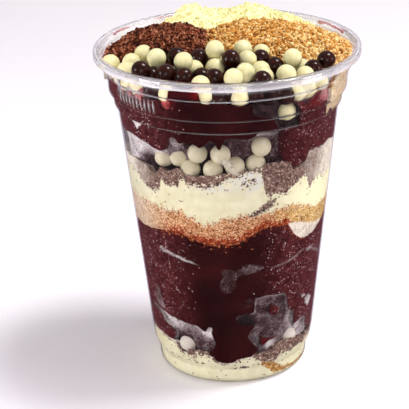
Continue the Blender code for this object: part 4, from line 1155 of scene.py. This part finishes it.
def layer_tops():
    """Heights at every column where the layers meet. Crumbs stay a little above the powder below them."""
    base_powder = contour(BASE_POWDER_TOP, POWDER_RAG, 1)
    milk = contour(MILK_TOP, CRUMB_RAG, 5)
    cocoa = np.maximum(contour(COCOA_TOP, CRUMB_RAG, 6), milk + 0.5)
    return {
        "floor": np.full(FOOD_COLUMNS, FOOT_FLOOR - REACH),
        "base powder": base_powder,
        "base cocoa": np.maximum(contour(BASE_COCOA_TOP, CRUMB_RAG, 2), base_powder + 0.3),
        "lower acai": contour(LOWER_ACAI_TOP, PULP_RAG, 3),
        "peanut": contour(PEANUT_TOP, CRUMB_RAG, 4),
        "milk": milk,
        "cocoa": cocoa,
        "pocket": np.maximum(contour(UPPER_ACAI_FOOT, PULP_RAG, 7), cocoa),
        "upper acai": contour(UPPER_ACAI_TOP, PULP_RAG, 8),
    }


def base_powder_layer(tops, powder):
    """Milk powder in the foot: specks of cocoa gathered along some lines, which along the foot's ledge also
    paint its shade, and peanut showing at one place.
    """
    azimuths, heights = layer_side(tops["floor"], tops["base powder"])
    wall = on_wall(azimuths, inside_radius(heights), heights)
    lines = lights(azimuths, heights, SPECK_LINES)
    blotch = smooth_step(0.6 * noise(wall, 1.0, 31) + lines, 0.55, 0.85)
    soft, outline = BASE_STAIN["peanut_patch"]
    finished_layer("base_milk_powder_layer", azimuths, heights, 0.0, powder, "milk_powder",
                   ["base_milk_powder"], (-1.2, BASE_DISH), chill=0.0,
                   soil=0.006 + 0.8 * blotch + 0.3 * near(heights, tops["base powder"], 0.5),
                   stain=0.95 * patch(azimuths, heights, outline, soft))


def base_cocoa_layer(tops, cocoa):
    """Cocoa crumbs over the powder in the foot, lost under a white film where the layer is thin."""
    azimuths, heights = layer_side(tops["base powder"], tops["base cocoa"], 0.4)
    thick = smooth_step(tops["base cocoa"] - tops["base powder"], 0.5, 1.4)
    finished_layer("base_cocoa_layer", azimuths, heights, 0.0, cocoa, "cocoa", ["base_cocoa_crumbs"],
                   (BASE_DISH, BASE_DISH), frost=1 - thick, pale=1.0, stain=0.0,
                   stray=0.02 + 0.4 * near(heights, tops["base powder"], 0.7))


def lower_acai_layer(tops, pulp):
    """The thick layer of pulp, with frosted pockets, film, red stains, and peanut in it along its top."""
    azimuths, heights = layer_side(tops["base cocoa"], tops["lower acai"])
    back, frost, pale = covered(azimuths, heights, LOWER_PATCHES | BACK_PATCHES,
                                LOWER_LIGHTS + BACK_LIGHTS, LOWER_CONTACTS)
    stain = np.maximum(0.35 * patch(azimuths, heights, LOWER_CONTACTS["red_drips"][1], 0.6),
                       0.1 * patch(azimuths, heights, LOWER_CONTACTS["red_spot"][1], 2.0))
    finished_layer("lower_acai_layer", azimuths, heights, back, pulp, "acai", ["lower_acai"],
                   (BASE_DISH, 0.0), frost=frost, pale=pale, stain=stain,
                   ice=ICE * smooth_step(np.abs(azimuths + 4), *LOWER_ICE),
                   # Painted sheen, paler towards the cup's sides
                   edge=smooth_step(np.abs(azimuths), *SIDE_SHEEN_SPAN),
                   stray=0.85 * near(heights, tops["lower acai"], 0.8) * in_front(azimuths, *SOAKED_FRONT))


def peanut_layer(tops):
    """Crushed peanuts, soaked by the pulp under them in front, filmed over at the left and by a drip of
    milk at the right, and more golden towards the right and behind."""
    azimuths, heights = layer_side(tops["lower acai"], tops["peanut"])
    uneven = rough(on_wall(azimuths, inside_radius(heights), heights), 2.0, 41)
    soaked = smooth_step(tops["lower acai"] + 2.0 + uneven - heights, -1.8, 1.2)
    soaked = soaked * in_front(azimuths, *SOAKED_FRONT)
    dots = 0.06 * in_front(azimuths, 3, 30, 50)
    soft, outline = PEANUT_FILM["milk_drip"]
    drip = patch(azimuths, heights, outline, soft)
    film = 0.5 * smooth_step(-azimuths, 34, 68) * smooth_step(azimuths, -150, -110)
    golden = (0.9 * smooth_step(azimuths, 18, 40) + 0.3 * smooth_step(-azimuths, 30, 60)
              + 0.6 * smooth_step(-azimuths, 110, 165))
    nuts = crumbs("peanut crumbs on the wall", WALL_PEANUT_GRAIN, WALL_PEANUT_STOPS, "#84502e",
                  FAR_PEANUT_STOPS)
    finished_layer("peanut_crumb_layer", azimuths, heights, 0.0, nuts, "peanut", ["peanut_crumbs"],
                   frost=np.maximum(drip, film), pale=0.9, far=golden,
                   stain=np.clip(0.85 * soaked + dots, 0, 1) * (1 - drip),
                   stray=(0.03 + 0.4 * near(heights, tops["peanut"], 0.8)) * (1 - drip))


def milk_layer(tops, powder):
    """Milk powder between peanuts and cocoa: a cocoa streak, a few specks, and cooler patches."""
    azimuths, heights = layer_side(tops["peanut"], tops["milk"])
    streak = patch(azimuths, heights, MILK_SOIL["cocoa_streak"][1], 1.6)
    soil = 0.003 + streak + 0.35 * near(heights, tops["milk"], 0.6) + lights(azimuths, heights, MILK_SPECKS)
    finished_layer("milk_powder_layer", azimuths, heights, 0.0, powder, "milk_powder", ["milk_powder"],
                   soil=soil, stain=0.45 * near(heights, tops["peanut"], 0.6) * (1 - streak),
                   chill=lights(azimuths, heights, MILK_CHILL))


def cocoa_layer(tops, cocoa):
    """Cocoa crumbs over the milk powder, frosted at the cup's sides."""
    azimuths, heights = layer_side(tops["milk"], tops["cocoa"])
    finished_layer("cocoa_crumb_layer", azimuths, heights, 0.0, cocoa, "cocoa", ["cocoa_crumbs"],
                   (0.0, DISH), frost=lights(azimuths, heights, COCOA_FROST), stain=0.0,
                   pale=0.68 + 0.32 * smooth_step(np.abs(azimuths), 50, 70),
                   stray=0.01 + 0.45 * near(heights, tops["milk"], 0.8))


def pocket_lining(tops):
    """The frosted hollow behind the upper ring of balls, with painted light and shade on its frost, and less
    deep where that is light.
    """
    azimuths, heights = layer_side(tops["cocoa"] - 1.0, tops["pocket"] + 1.0)
    pale = lights(azimuths, heights, LINING_LIGHTS)
    uneven = rough(on_wall(azimuths, inside_radius(heights), heights), 4.0, 51)
    deep = np.clip(6.0 - 4.5 * pale + 0.7 * uneven, 0.5, 7)
    finished_layer("frosted_pocket_lining", azimuths, heights, deep, frosted_pocket(), "candy_shell",
                   ["upper_balls"], (DISH, 0.0), frost=1.0, pale=pale)


def upper_acai_layer(tops, pulp):
    """The upper layer of pulp, rubbed off in front of some balls and smeared red near its top."""
    azimuths, heights = layer_side(tops["pocket"], tops["upper acai"])
    back, frost, pale = covered(azimuths, heights, UPPER_PATCHES, UPPER_LIGHTS)
    back = np.maximum(back, RUBBED_DEPTH * rubbed(azimuths, heights, RUBBED_SPOTS))
    finished_layer("upper_acai_layer", azimuths, heights, back, pulp, "acai", ["upper_acai"], (0.0, 5.0),
                   frost=frost, pale=pale, ice=ICE * smooth_step(np.abs(azimuths), *UPPER_ICE),
                   # Painted sheen, paler towards the cup's sides
                   edge=smooth_step(np.abs(azimuths), *SIDE_SHEEN_SPAN),
                   stain=lights(azimuths, heights, RED_SMEARS), stray=0.0)


def make_layers():
    """All the layers from the foot up, with the frosted hollow under the upper pulp."""
    tops = layer_tops()
    powder, pulp = milk_powder(), acai_pulp()
    cocoa = crumbs("cocoa crumbs on the wall", WALL_COCOA_GRAIN, WALL_COCOA_STOPS, "#3a2a26")
    base_powder_layer(tops, powder)
    base_cocoa_layer(tops, cocoa)
    lower_acai_layer(tops, pulp)
    peanut_layer(tops)
    milk_layer(tops, powder)
    cocoa_layer(tops, cocoa)
    pocket_lining(tops)
    upper_acai_layer(tops, pulp)


# Balls, heaps and traces


def balls_on_wall(places, radius):
    """Centres of balls that touch the wall at (azimuth, height), or stand further in by a third number.
    Over its whole height a ball keeps off the wall, so the centre's distance from the axis is the least of
    wall radius - sqrt(radius^2 - rise^2)."""
    rows = np.array([(*place, 0.0)[:3] for place in places], dtype=float)
    rise = np.linspace(-radius, radius, 25)[:, None]
    depth = np.sqrt(np.maximum(radius ** 2 - rise ** 2, 0))
    room = (inside_radius(rows[:, 1] + rise) - depth).min(axis=0)
    return on_wall(rows[:, 0], room - BALL_GAP - rows[:, 2], rows[:, 1])


def make_balls(name, groups, finish, replaced=(), seed=1):
    """One piece of balls: each slightly out of round and of its own size."""
    rng = np.random.default_rng(seed)
    places = np.concatenate([centres for centres, _ in groups])
    radii = np.concatenate([np.full(len(centres), radius) for centres, radius in groups])
    sizes = radii[:, None] * rng.uniform(*BALL_SIZES, (len(places), 3))
    points, faces = copies(unit_ball(BALL_COLUMNS, BALL_ROWS), places, sizes, 0.0, rng)
    size, amount = BALL_LUMPS
    points = points + amount * noise(points, size, 61)[:, None]
    new_piece(name, points, faces, finish, "candy_shell", replaced)


def ball_bed():
    """Centres of a bed of balls under the heap: rows half a step apart, inside the wall and the front line,
    each a little off its place."""
    rng = np.random.default_rng(8)
    step = BED_STEP * HEAP_RADIUS
    row, column = np.mgrid[0:BED_ROWS, -BED_HALF:BED_HALF + 1]
    x = (column + 0.5 * (row % 2)) * step
    y = BED_FRONT - HEAP_RADIUS - row * step * BED_ROW_SHARE
    places = np.stack([x, y], axis=-1).reshape(-1, 2) + rng.uniform(-BED_SHIFT, BED_SHIFT, (x.size, 2))
    places = places[np.hypot(*places.T) < inside_radius(BED_LEVEL) - HEAP_RADIUS - 0.2]
    return np.column_stack([places, mound(*places.T, *BALL_MOUND) - BED_DEPTH])


def mound(x, y, crown, centre_x, centre_y, reach_x, reach_y):
    """Height of a heap: crown - fall * share^power, and no lower than its edge."""
    away = np.hypot((x - centre_x) / reach_x, (y - centre_y) / reach_y)
    return np.maximum(crown - HEAP_FALL * away ** HEAP_POWER, HEAP_EDGE)


def beside_seam(x, y, height):
    """A heap's height, less a dip of the form depth * exp(-(distance / width)^2) along the seam."""
    seam = np.interp(y, *np.flip(np.array(SEAM_LINE), axis=1).T)
    return height - SEAM_DIP * np.exp(-((x - seam) / SEAM_WIDTH) ** 2)


def bed_height(x, y):
    """Top of the dark core of painted shade under the heap of balls: its mound, lowered."""
    return mound(x, y, *BALL_MOUND) - CORE_DEPTH


def cocoa_height(x, y):
    """Top of the heap of cocoa crumbs: its mound, dipped at the seam."""
    return beside_seam(x, y, mound(x, y, *COCOA_MOUND))


def peanut_height(x, y):
    """Top of the heap of peanut crumbs: its mound, dipped at the seam."""
    return beside_seam(x, y, mound(x, y, *PEANUT_MOUND))


def powder_height(x, y):
    """Top of the milk powder: its mound with two bell-shaped peaks."""
    height = mound(x, y, *POWDER_MOUND)
    for peak_x, peak_y, width, rise in POWDER_PEAKS:
        height = height + rise * np.exp(-(((x - peak_x) ** 2 + (y - peak_y) ** 2) / width ** 2))
    return height


def heap_plan(line, arc, sides, back=0.0):
    """Plan points of a heap, on straight lines from its inner line to the wall, and how far each lies
    outside its own ground. It runs a margin under its neighbours at the inner line and, if it has
    sides, there too."""
    reach = inside_radius(HEAP_LEVEL) - back
    line = np.array(line, dtype=float)
    span = np.linalg.norm(np.diff(line, axis=0), axis=1)
    along = np.concatenate([[0], np.cumsum(span)]) / span.sum()
    wide = max(span.sum(), abs(arc[1] - arc[0]) * np.pi / 180 * reach)
    extra = HEAP_MARGIN / wide if sides else 0.0
    v = np.linspace(-extra, 1 + extra, math.ceil(wide / HEAP_STEP))
    held = np.clip(v, 0, 1)
    start = np.stack([np.interp(held, along, line[:, axis]) for axis in (0, 1)], axis=-1)
    start += (v - held)[:, None] * (line[-1] - line[0])
    wall = on_wall(arc[0] + (arc[1] - arc[0]) * v, reach, 0.0)[:, :2]
    deep = np.linalg.norm(wall - start, axis=1)
    u = np.linspace(-HEAP_MARGIN / deep.mean(), 1, math.ceil(deep.mean() / HEAP_STEP))[:, None]
    plan = start + (wall - start) * u[..., None]
    outside = np.clip(-u, 0, 1) * deep + np.abs(v - held) * wide
    return plan, outside


def make_heap(name, line, arc, sides, height_at, low, grain, finish, slot, replaced, back=0.0, **values):
    """A heap: height over its plan with grainy noise, then its side down the wall to its foot. Each
    attribute has one value for the top and one for the side."""
    plan, outside = heap_plan(line, arc, sides, back)
    x, y = plan[..., 0], plan[..., 1]
    size, amount = grain
    flat = np.stack([x, y, np.zeros_like(x)], axis=-1)
    top = height_at(x, y) - HEAP_SLOPE * outside + amount * rough(flat, size, 71)
    upper = np.concatenate([plan, top[..., None]], axis=-1)
    edge = upper[-1]
    rows = np.linspace(0, 1, math.ceil((edge[:, 2].max() - low) / HEAP_ROW))[1:, None]
    heights = edge[:, 2] + (low - edge[:, 2]) * rows
    azimuths = np.degrees(np.arctan2(edge[:, 0], -edge[:, 1]))
    side = on_wall(azimuths[None], inside_radius(heights) + REACH - back, heights)
    upper[-1] = on_wall(azimuths, inside_radius(edge[:, 2]) + REACH - back, edge[:, 2])
    grid = np.concatenate([upper, side])
    points = np.concatenate([grid.reshape(-1, 3), [[x.mean(), y.mean(), low - 2]]])
    on_top = upper[:-HEAP_BRIM, :, 0].size
    spread = {}
    for key, (top_value, side_value) in values.items():
        spread[key] = np.where(np.arange(len(points)) < on_top, top_value, side_value)
    faces = sheet_faces(*grid.shape[:2])
    new_piece(name, points, faces, finish, slot, replaced, recalculate=True, **spread)
    return upper, outside


def make_loose(name, heap, count, sizes, finish, slot, seed, sink=0.35, brighter=0.0):
    """Loose crumbs over a heap: seeded places on its top, partly sunk and clear of the balls beside it,
    each an uneven ball with few sides. Their tone may rise towards the right."""
    upper, outside = heap
    rng = np.random.default_rng(seed)
    own = np.argwhere(outside[1:-1, 1:-1] <= LOOSE_MARGIN) + 1
    chosen = own[rng.integers(0, len(own), count)]
    places = upper[chosen[:, 0], chosen[:, 1]] + rng.uniform(-1, 1, (count, 3)) * LOOSE_SHIFT
    places[:, 2] += HEAP_SLOPE * outside[chosen[:, 0], chosen[:, 1]]
    balls = np.array(HEAP_WHITE + HEAP_DARK)
    clear = np.array([np.linalg.norm(balls - place, axis=1).min() > HEAP_RADIUS + 0.2 for place in places])
    places = places[clear]
    count = len(places)
    size = rng.uniform(*sizes, (count, 1)) / 2 * rng.uniform(*LOOSE_STRETCH, (count, 3))
    places[:, 2] += size.mean(axis=1) * (1 - 2 * sink)
    reach = inside_radius(np.minimum(places[:, 2], 121.0)) - size.max(axis=1) - 0.1
    places[:, :2] *= np.minimum(1, reach / np.hypot(places[:, 0], places[:, 1]))[:, None]
    shape = unit_ball(4, 3)
    points, faces = copies(shape, places, size, 0.34, rng)
    tone = np.clip(rng.uniform(0, 1, count) + brighter * smooth_step(places[:, 0], 8, 34), 0, 1)
    tone = np.repeat(tone, len(shape[0]))
    new_piece(name, points, faces, finish, slot, smooth=False, tone=tone)


def make_smears(finish):
    """Pulp smeared on the clear wall above the heaps: each a lens whose outline and depth are uneven, its
    depth falling as 1 - share^2 from the middle."""
    around = np.arange(SMEAR_COLUMNS) * 2 * np.pi / SMEAR_COLUMNS
    circle = np.stack([np.cos(around), np.sin(around)], axis=-1)
    share = np.array(SMEAR_RINGS)[:, None]
    points, faces, shift = [], [], 0
    for seed, (azimuth, height, width, tall, slant) in enumerate(RIM_SMEARS):
        ragged = 1 + 0.35 * noise(np.insert(circle, 2, seed, axis=1), 0.45, seed)
        across, up = share * ragged * circle[:, 0] * width, share * ragged * circle[:, 1] * tall
        heights = height + up + slant * across
        wall = inside_radius(heights)
        outer = on_wall(azimuth + across, wall + REACH / 2, heights)
        inner = on_wall(azimuth + across, wall - 0.05 - 0.3 * (1 - share ** 2), heights)
        grid = np.concatenate([outer[::-1], inner])
        points.append(closed_round(grid))
        faces.append([face + shift for face in round_faces(len(grid), len(around))])
        shift += len(points[-1])
    faces = [np.concatenate(kind) for kind in zip(*faces)]
    new_piece("rim_smears", np.concatenate(points), faces, finish, "acai", recalculate=True)


def make_trail(finish):
    """Milk powder caught in front of the ring of balls: small uneven lumps along a line on the wall."""
    rng = np.random.default_rng(21)
    line = np.array(POWDER_TRAIL)
    along = rng.uniform(0, len(line) - 1, TRAIL_LUMPS)
    wander = rng.normal(0, 1, (TRAIL_LUMPS, 2)) * TRAIL_SPREAD
    azimuths = np.interp(along, range(len(line)), line[:, 0]) + wander[:, 0]
    heights = np.interp(along, range(len(line)), line[:, 1]) + wander[:, 1]
    size = rng.uniform(0.1, 0.3, (TRAIL_LUMPS, 3))
    places = on_wall(azimuths, inside_radius(heights) - 0.1, heights)
    shape = unit_ball(5, 4)
    points, faces = copies(shape, places, size, 0.3, rng)
    tone = np.repeat(rng.uniform(0, 1, TRAIL_LUMPS), len(shape[0]))
    new_piece("powder_trail", points, faces, finish, "milk_powder", smooth=False, tone=tone)


# The stage


def make_floor(colour):
    """A wide level floor."""
    mesh = bpy.data.meshes.new("floor")
    half = FLOOR_SIDE / 2
    corners = [(-half, -half, 0), (half, -half, 0), (half, half, 0), (-half, half, 0)]
    mesh.from_pydata(corners, [], [(0, 1, 2, 3)])
    mesh.materials.append(studio_paper(tuple(colour)))
    floor = bpy.data.objects.new("floor", mesh)
    bpy.context.scene.collection.objects.link(floor)


def make_surround():
    """White surroundings, bright overhead and behind the cup and dim in front of it. The strength follows
    how far a direction leans towards that bright side."""
    world = bpy.data.worlds.new("white surround")
    world.use_nodes = True
    tree = world.node_tree
    direction = node(tree, "TexCoord", {}, "Generated")
    facing = node(tree, "VectorMath", {0: direction, 1: (0.0, 0.3, 0.95)}, "Value", operation="DOT_PRODUCT")
    strength = node(tree, "MapRange", {"Value": facing, "From Min": -0.75, "From Max": 0.55,
                                       "To Min": 0.02, "To Max": 0.46}, "Result", **SMOOTH)
    feed(tree.nodes["Background"], {"Color": "#f9f4f7", "Strength": strength})
    bpy.context.scene.world = world


def make_lamps():
    """A key light overhead, a weak fill in front and a strip at each side, all aimed at the cup."""
    for name, place, size, power in LAMPS:
        lamp = bpy.data.lights.new(name, "AREA")
        lamp.shape = "RECTANGLE"
        lamp.size, lamp.size_y = size
        lamp.energy = power
        light = bpy.data.objects.new(name, lamp)
        light.location = place
        light.rotation_euler = look(np.array(LAMP_AIM) - np.array(place)).to_euler()
        bpy.context.scene.collection.objects.link(light)


def look(direction):
    """Rotation that turns -Z along a direction with Y upright."""
    forward = direction / np.linalg.norm(direction)
    right = np.cross(forward, (0, 0, 1))
    right = right / np.linalg.norm(right)
    return Matrix(np.column_stack([right, np.cross(right, forward), -forward]).tolist())


def make_camera():
    """The photograph's camera: in front of the cup, looking down, with a slight roll."""
    camera = bpy.data.cameras.new("camera")
    camera.sensor_width = SENSOR
    camera.lens = FOCAL_PIXELS * SENSOR / IMAGE_SIDE
    camera.clip_start = CAMERA_CLIP * MM
    shot = bpy.data.objects.new("camera", camera)
    pan, tilt = CAMERA_PAN, CAMERA_TILT
    forward = np.array((math.sin(pan) * math.cos(tilt), math.cos(pan) * math.cos(tilt), -math.sin(tilt)))
    turn = look(forward).to_4x4() @ Matrix.Rotation(CAMERA_ROLL, 4, "Z")
    shot.matrix_world = Matrix.Translation((0, -CAMERA_DISTANCE * MM, CAMERA_HEIGHT * MM)) @ turn
    bpy.context.scene.collection.objects.link(shot)
    bpy.context.scene.camera = shot


# The add-on


class AcaiCupSettings(bpy.types.PropertyGroup):
    """Sizes and amounts that a user may change."""

    wall: bpy.props.FloatProperty(
        name="Wall", description="Thickness of the cup's wall", default=WALL * MM, unit="LENGTH")
    rib: bpy.props.FloatProperty(
        name="Rib height", description="How far the grip ribs stand out", default=RIB * MM, unit="LENGTH")
    ring_ball: bpy.props.FloatProperty(
        name="Ring ball radius", description="Radius of the balls between the layers",
        default=RING_RADIUS * MM, unit="LENGTH")
    heap_ball: bpy.props.FloatProperty(
        name="Heap ball radius", description="Radius of the balls on top",
        default=HEAP_RADIUS * MM, unit="LENGTH")
    cocoa_crumbs: bpy.props.IntProperty(
        name="Cocoa crumbs", description="Number of loose cocoa crumbs on top", default=7500)
    peanut_crumbs: bpy.props.IntProperty(
        name="Peanut crumbs", description="Number of loose peanut crumbs on top", default=11500)
    powder_lumps: bpy.props.IntProperty(
        name="Powder lumps", description="Number of loose lumps on the milk powder", default=2500)
    floor_colour: bpy.props.FloatVectorProperty(
        name="Floor", description="Colour of the studio floor", subtype="COLOR", size=3,
        default=linear("#fbf6fc"))


class ACAI_OT_cup(bpy.types.Operator):
    """Turn the clear cup with its rings, ribs and rolled lip"""

    bl_idname = "acai.cup"
    bl_label = "Cup"

    def execute(self, context):
        settings = context.scene.acai_cup
        make_cup(settings.wall / MM, settings.rib / MM)
        return {"FINISHED"}


class ACAI_OT_layers(bpy.types.Operator):
    """Fill the cup with its layers and the frosted pockets between them"""

    bl_idname = "acai.layers"
    bl_label = "Layers"

    def execute(self, context):
        make_layers()
        return {"FINISHED"}


class ACAI_OT_ring_balls(bpy.types.Operator):
    """Place the two rings of balls between the layers"""

    bl_idname = "acai.ring_balls"
    bl_label = "Ring balls"

    def execute(self, context):
        radius = context.scene.acai_cup.ring_ball / MM
        frozen = chocolate_shell("white chocolate shell under thick frost", FROZEN_BALL_STOPS, 0.6, "#e4e0d4")
        # Darker shell for the upper ring: frost over it and painted shade
        cold = chocolate_shell("white chocolate shell under frost and painted shade", WALL_BALL_STOPS, 0.6, "#dcd6b4")
        make_balls("lower_ring_balls", [(balls_on_wall(LOWER_RING, radius), radius)], frozen,
                   ["lower_balls"], 2)
        make_balls("upper_ring_balls", [(balls_on_wall(UPPER_RING + RING_BEHIND, radius), radius)], cold,
                   seed=3)
        return {"FINISHED"}


class ACAI_OT_heap_balls(bpy.types.Operator):
    """Heap the white and the dark balls in front, over a dark core of painted shade, with a few stained by
    the pulp
    """

    bl_idname = "acai.heap_balls"
    bl_label = "Heap balls"

    def execute(self, context):
        radius = context.scene.acai_cup.heap_ball / MM
        white = chocolate_shell("white chocolate shell", BALL_WHITE_STOPS, 0.38, "#f6f2d4")
        dark = chocolate_shell("dark chocolate shell", BALL_DARK_STOPS, 0.18, "#4a2620", 0.2)
        stained = chocolate_shell("white chocolate shell under acai", STAINED_BALL_STOPS, 0.3, "#e8a8a0")
        # A dark sheet of painted shade among the buried balls, matt and without gloss
        shade = chocolate_shell("painted shade among the heaped balls", BALL_DARK_STOPS, 0.8, "#1a0c0a",
                                0.0)
        whites, darks = np.array(HEAP_WHITE), np.array(HEAP_DARK)
        make_balls("white_heap_balls", [(whites, radius), (balls_on_wall(RIM_WHITE, radius), radius)],
                   white, ["ball_heap"], 4)
        make_balls("dark_heap_balls", [(darks, radius), (balls_on_wall(RIM_DARK, radius), radius),
                                      (ball_bed(), radius)], dark, seed=5)
        make_balls("stained_balls", [(balls_on_wall(STAINED_BALLS, radius), radius)], stained, seed=6)
        make_heap("ball_heap_core", FRONT_LINE, FRONT_ARC, False, bed_height, HEAP_LOW, BED_GRAIN, shade,
                  "candy_shell", [], back=CORE_BACK)
        return {"FINISHED"}


class ACAI_OT_crumb_heaps(bpy.types.Operator):
    """Heap cocoa crumbs at the left and peanut crumbs at the right, with loose ones on top"""

    bl_idname = "acai.crumb_heaps"
    bl_label = "Crumb heaps"

    def execute(self, context):
        settings = context.scene.acai_cup
        core = crumbs("cocoa crumbs", COCOA_GRAIN, COCOA_CORE_SHADE_STOPS, "#1c0c08")
        heap = make_heap("cocoa_heap_core", SEAM_LINE, COCOA_ARC, True, cocoa_height, HEAP_LOW, CRUMB_GRAIN,
                         core, "cocoa", ["cocoa_heap"], **HEAP_LOOKS)
        make_loose("cocoa_loose_crumbs", heap, settings.cocoa_crumbs, LOOSE_COCOA,
                   loose_crumb("loose cocoa crumb", COCOA_STOPS), "cocoa", 11)
        core = crumbs("crushed roast peanuts", PEANUT_GRAIN, PEANUT_CORE_SHADE_STOPS, "#6a3814",
                      FAR_PEANUT_STOPS)
        heap = make_heap("peanut_heap_core", SEAM_LINE, PEANUT_ARC, True, peanut_height, PEANUT_LOW,
                         CRUMB_GRAIN, core, "peanut", ["peanut_heap"], far=(0.0, 1.0), **HEAP_LOOKS)
        make_loose("peanut_loose_crumbs", heap, settings.peanut_crumbs, LOOSE_PEANUT,
                   loose_crumb("loose peanut crumb", PEANUT_STOPS), "peanut", 12, brighter=0.3)
        return {"FINISHED"}


class ACAI_OT_powder_heap(bpy.types.Operator):
    """Heap milk powder behind, with loose lumps on top"""

    bl_idname = "acai.powder_heap"
    bl_label = "Powder heap"

    def execute(self, context):
        count = context.scene.acai_cup.powder_lumps
        heap = make_heap("powder_heap_core", BACK_LINE, BACK_ARC, False, powder_height, HEAP_LOW,
                         POWDER_GRAIN, heaped_powder(), "milk_powder", ["powder_heap"])
        make_loose("powder_loose_lumps", heap, count, LOOSE_POWDER,
                   loose_crumb("loose milk powder", POWDER_STOPS), "milk_powder", 13, 0.6)
        return {"FINISHED"}


class ACAI_OT_traces(bpy.types.Operator):
    """Smear pulp inside the rim and leave milk powder in front of the ring of balls"""

    bl_idname = "acai.traces"
    bl_label = "Traces"

    def execute(self, context):
        make_smears(thin_pulp())
        make_trail(loose_crumb("milk powder at the wall", TRAIL_STOPS))
        return {"FINISHED"}


class ACAI_OT_stage(bpy.types.Operator):
    """Set the pale floor, the soft studio light and the camera"""

    bl_idname = "acai.stage"
    bl_label = "Stage"

    def execute(self, context):
        make_floor(context.scene.acai_cup.floor_colour)
        make_surround()
        make_lamps()
        make_camera()
        context.scene.view_settings.view_transform = "Standard"
        return {"FINISHED"}


class ACAI_PT_panel(bpy.types.Panel):
    """Sidebar panel with the settings and the steps of the cup"""

    bl_label = "Acai Cup"
    bl_idname = "ACAI_PT_panel"
    bl_space_type = "VIEW_3D"
    bl_region_type = "UI"
    bl_category = "Acai Cup"

    def draw(self, context):
        settings = context.scene.acai_cup
        for name in AcaiCupSettings.__annotations__:
            self.layout.prop(settings, name)
        for step in STEPS:
            self.layout.operator(step.bl_idname)


STEPS = (ACAI_OT_stage, ACAI_OT_cup, ACAI_OT_layers, ACAI_OT_ring_balls, ACAI_OT_heap_balls,
         ACAI_OT_crumb_heaps, ACAI_OT_powder_heap, ACAI_OT_traces)
CLASSES = (AcaiCupSettings, *STEPS, ACAI_PT_panel)


def register():
    """Register the classes and the settings."""
    for item in CLASSES:
        bpy.utils.register_class(item)
    bpy.types.Scene.acai_cup = bpy.props.PointerProperty(type=AcaiCupSettings)


def unregister():
    """Take the settings and the classes away again."""
    del bpy.types.Scene.acai_cup
    for item in reversed(CLASSES):
        bpy.utils.unregister_class(item)


def main():
    """Build everything."""
    register()
    for step in STEPS:
        group, name = step.bl_idname.split(".")
        getattr(getattr(bpy.ops, group), name)()


if __name__ == "__main__":
    main()
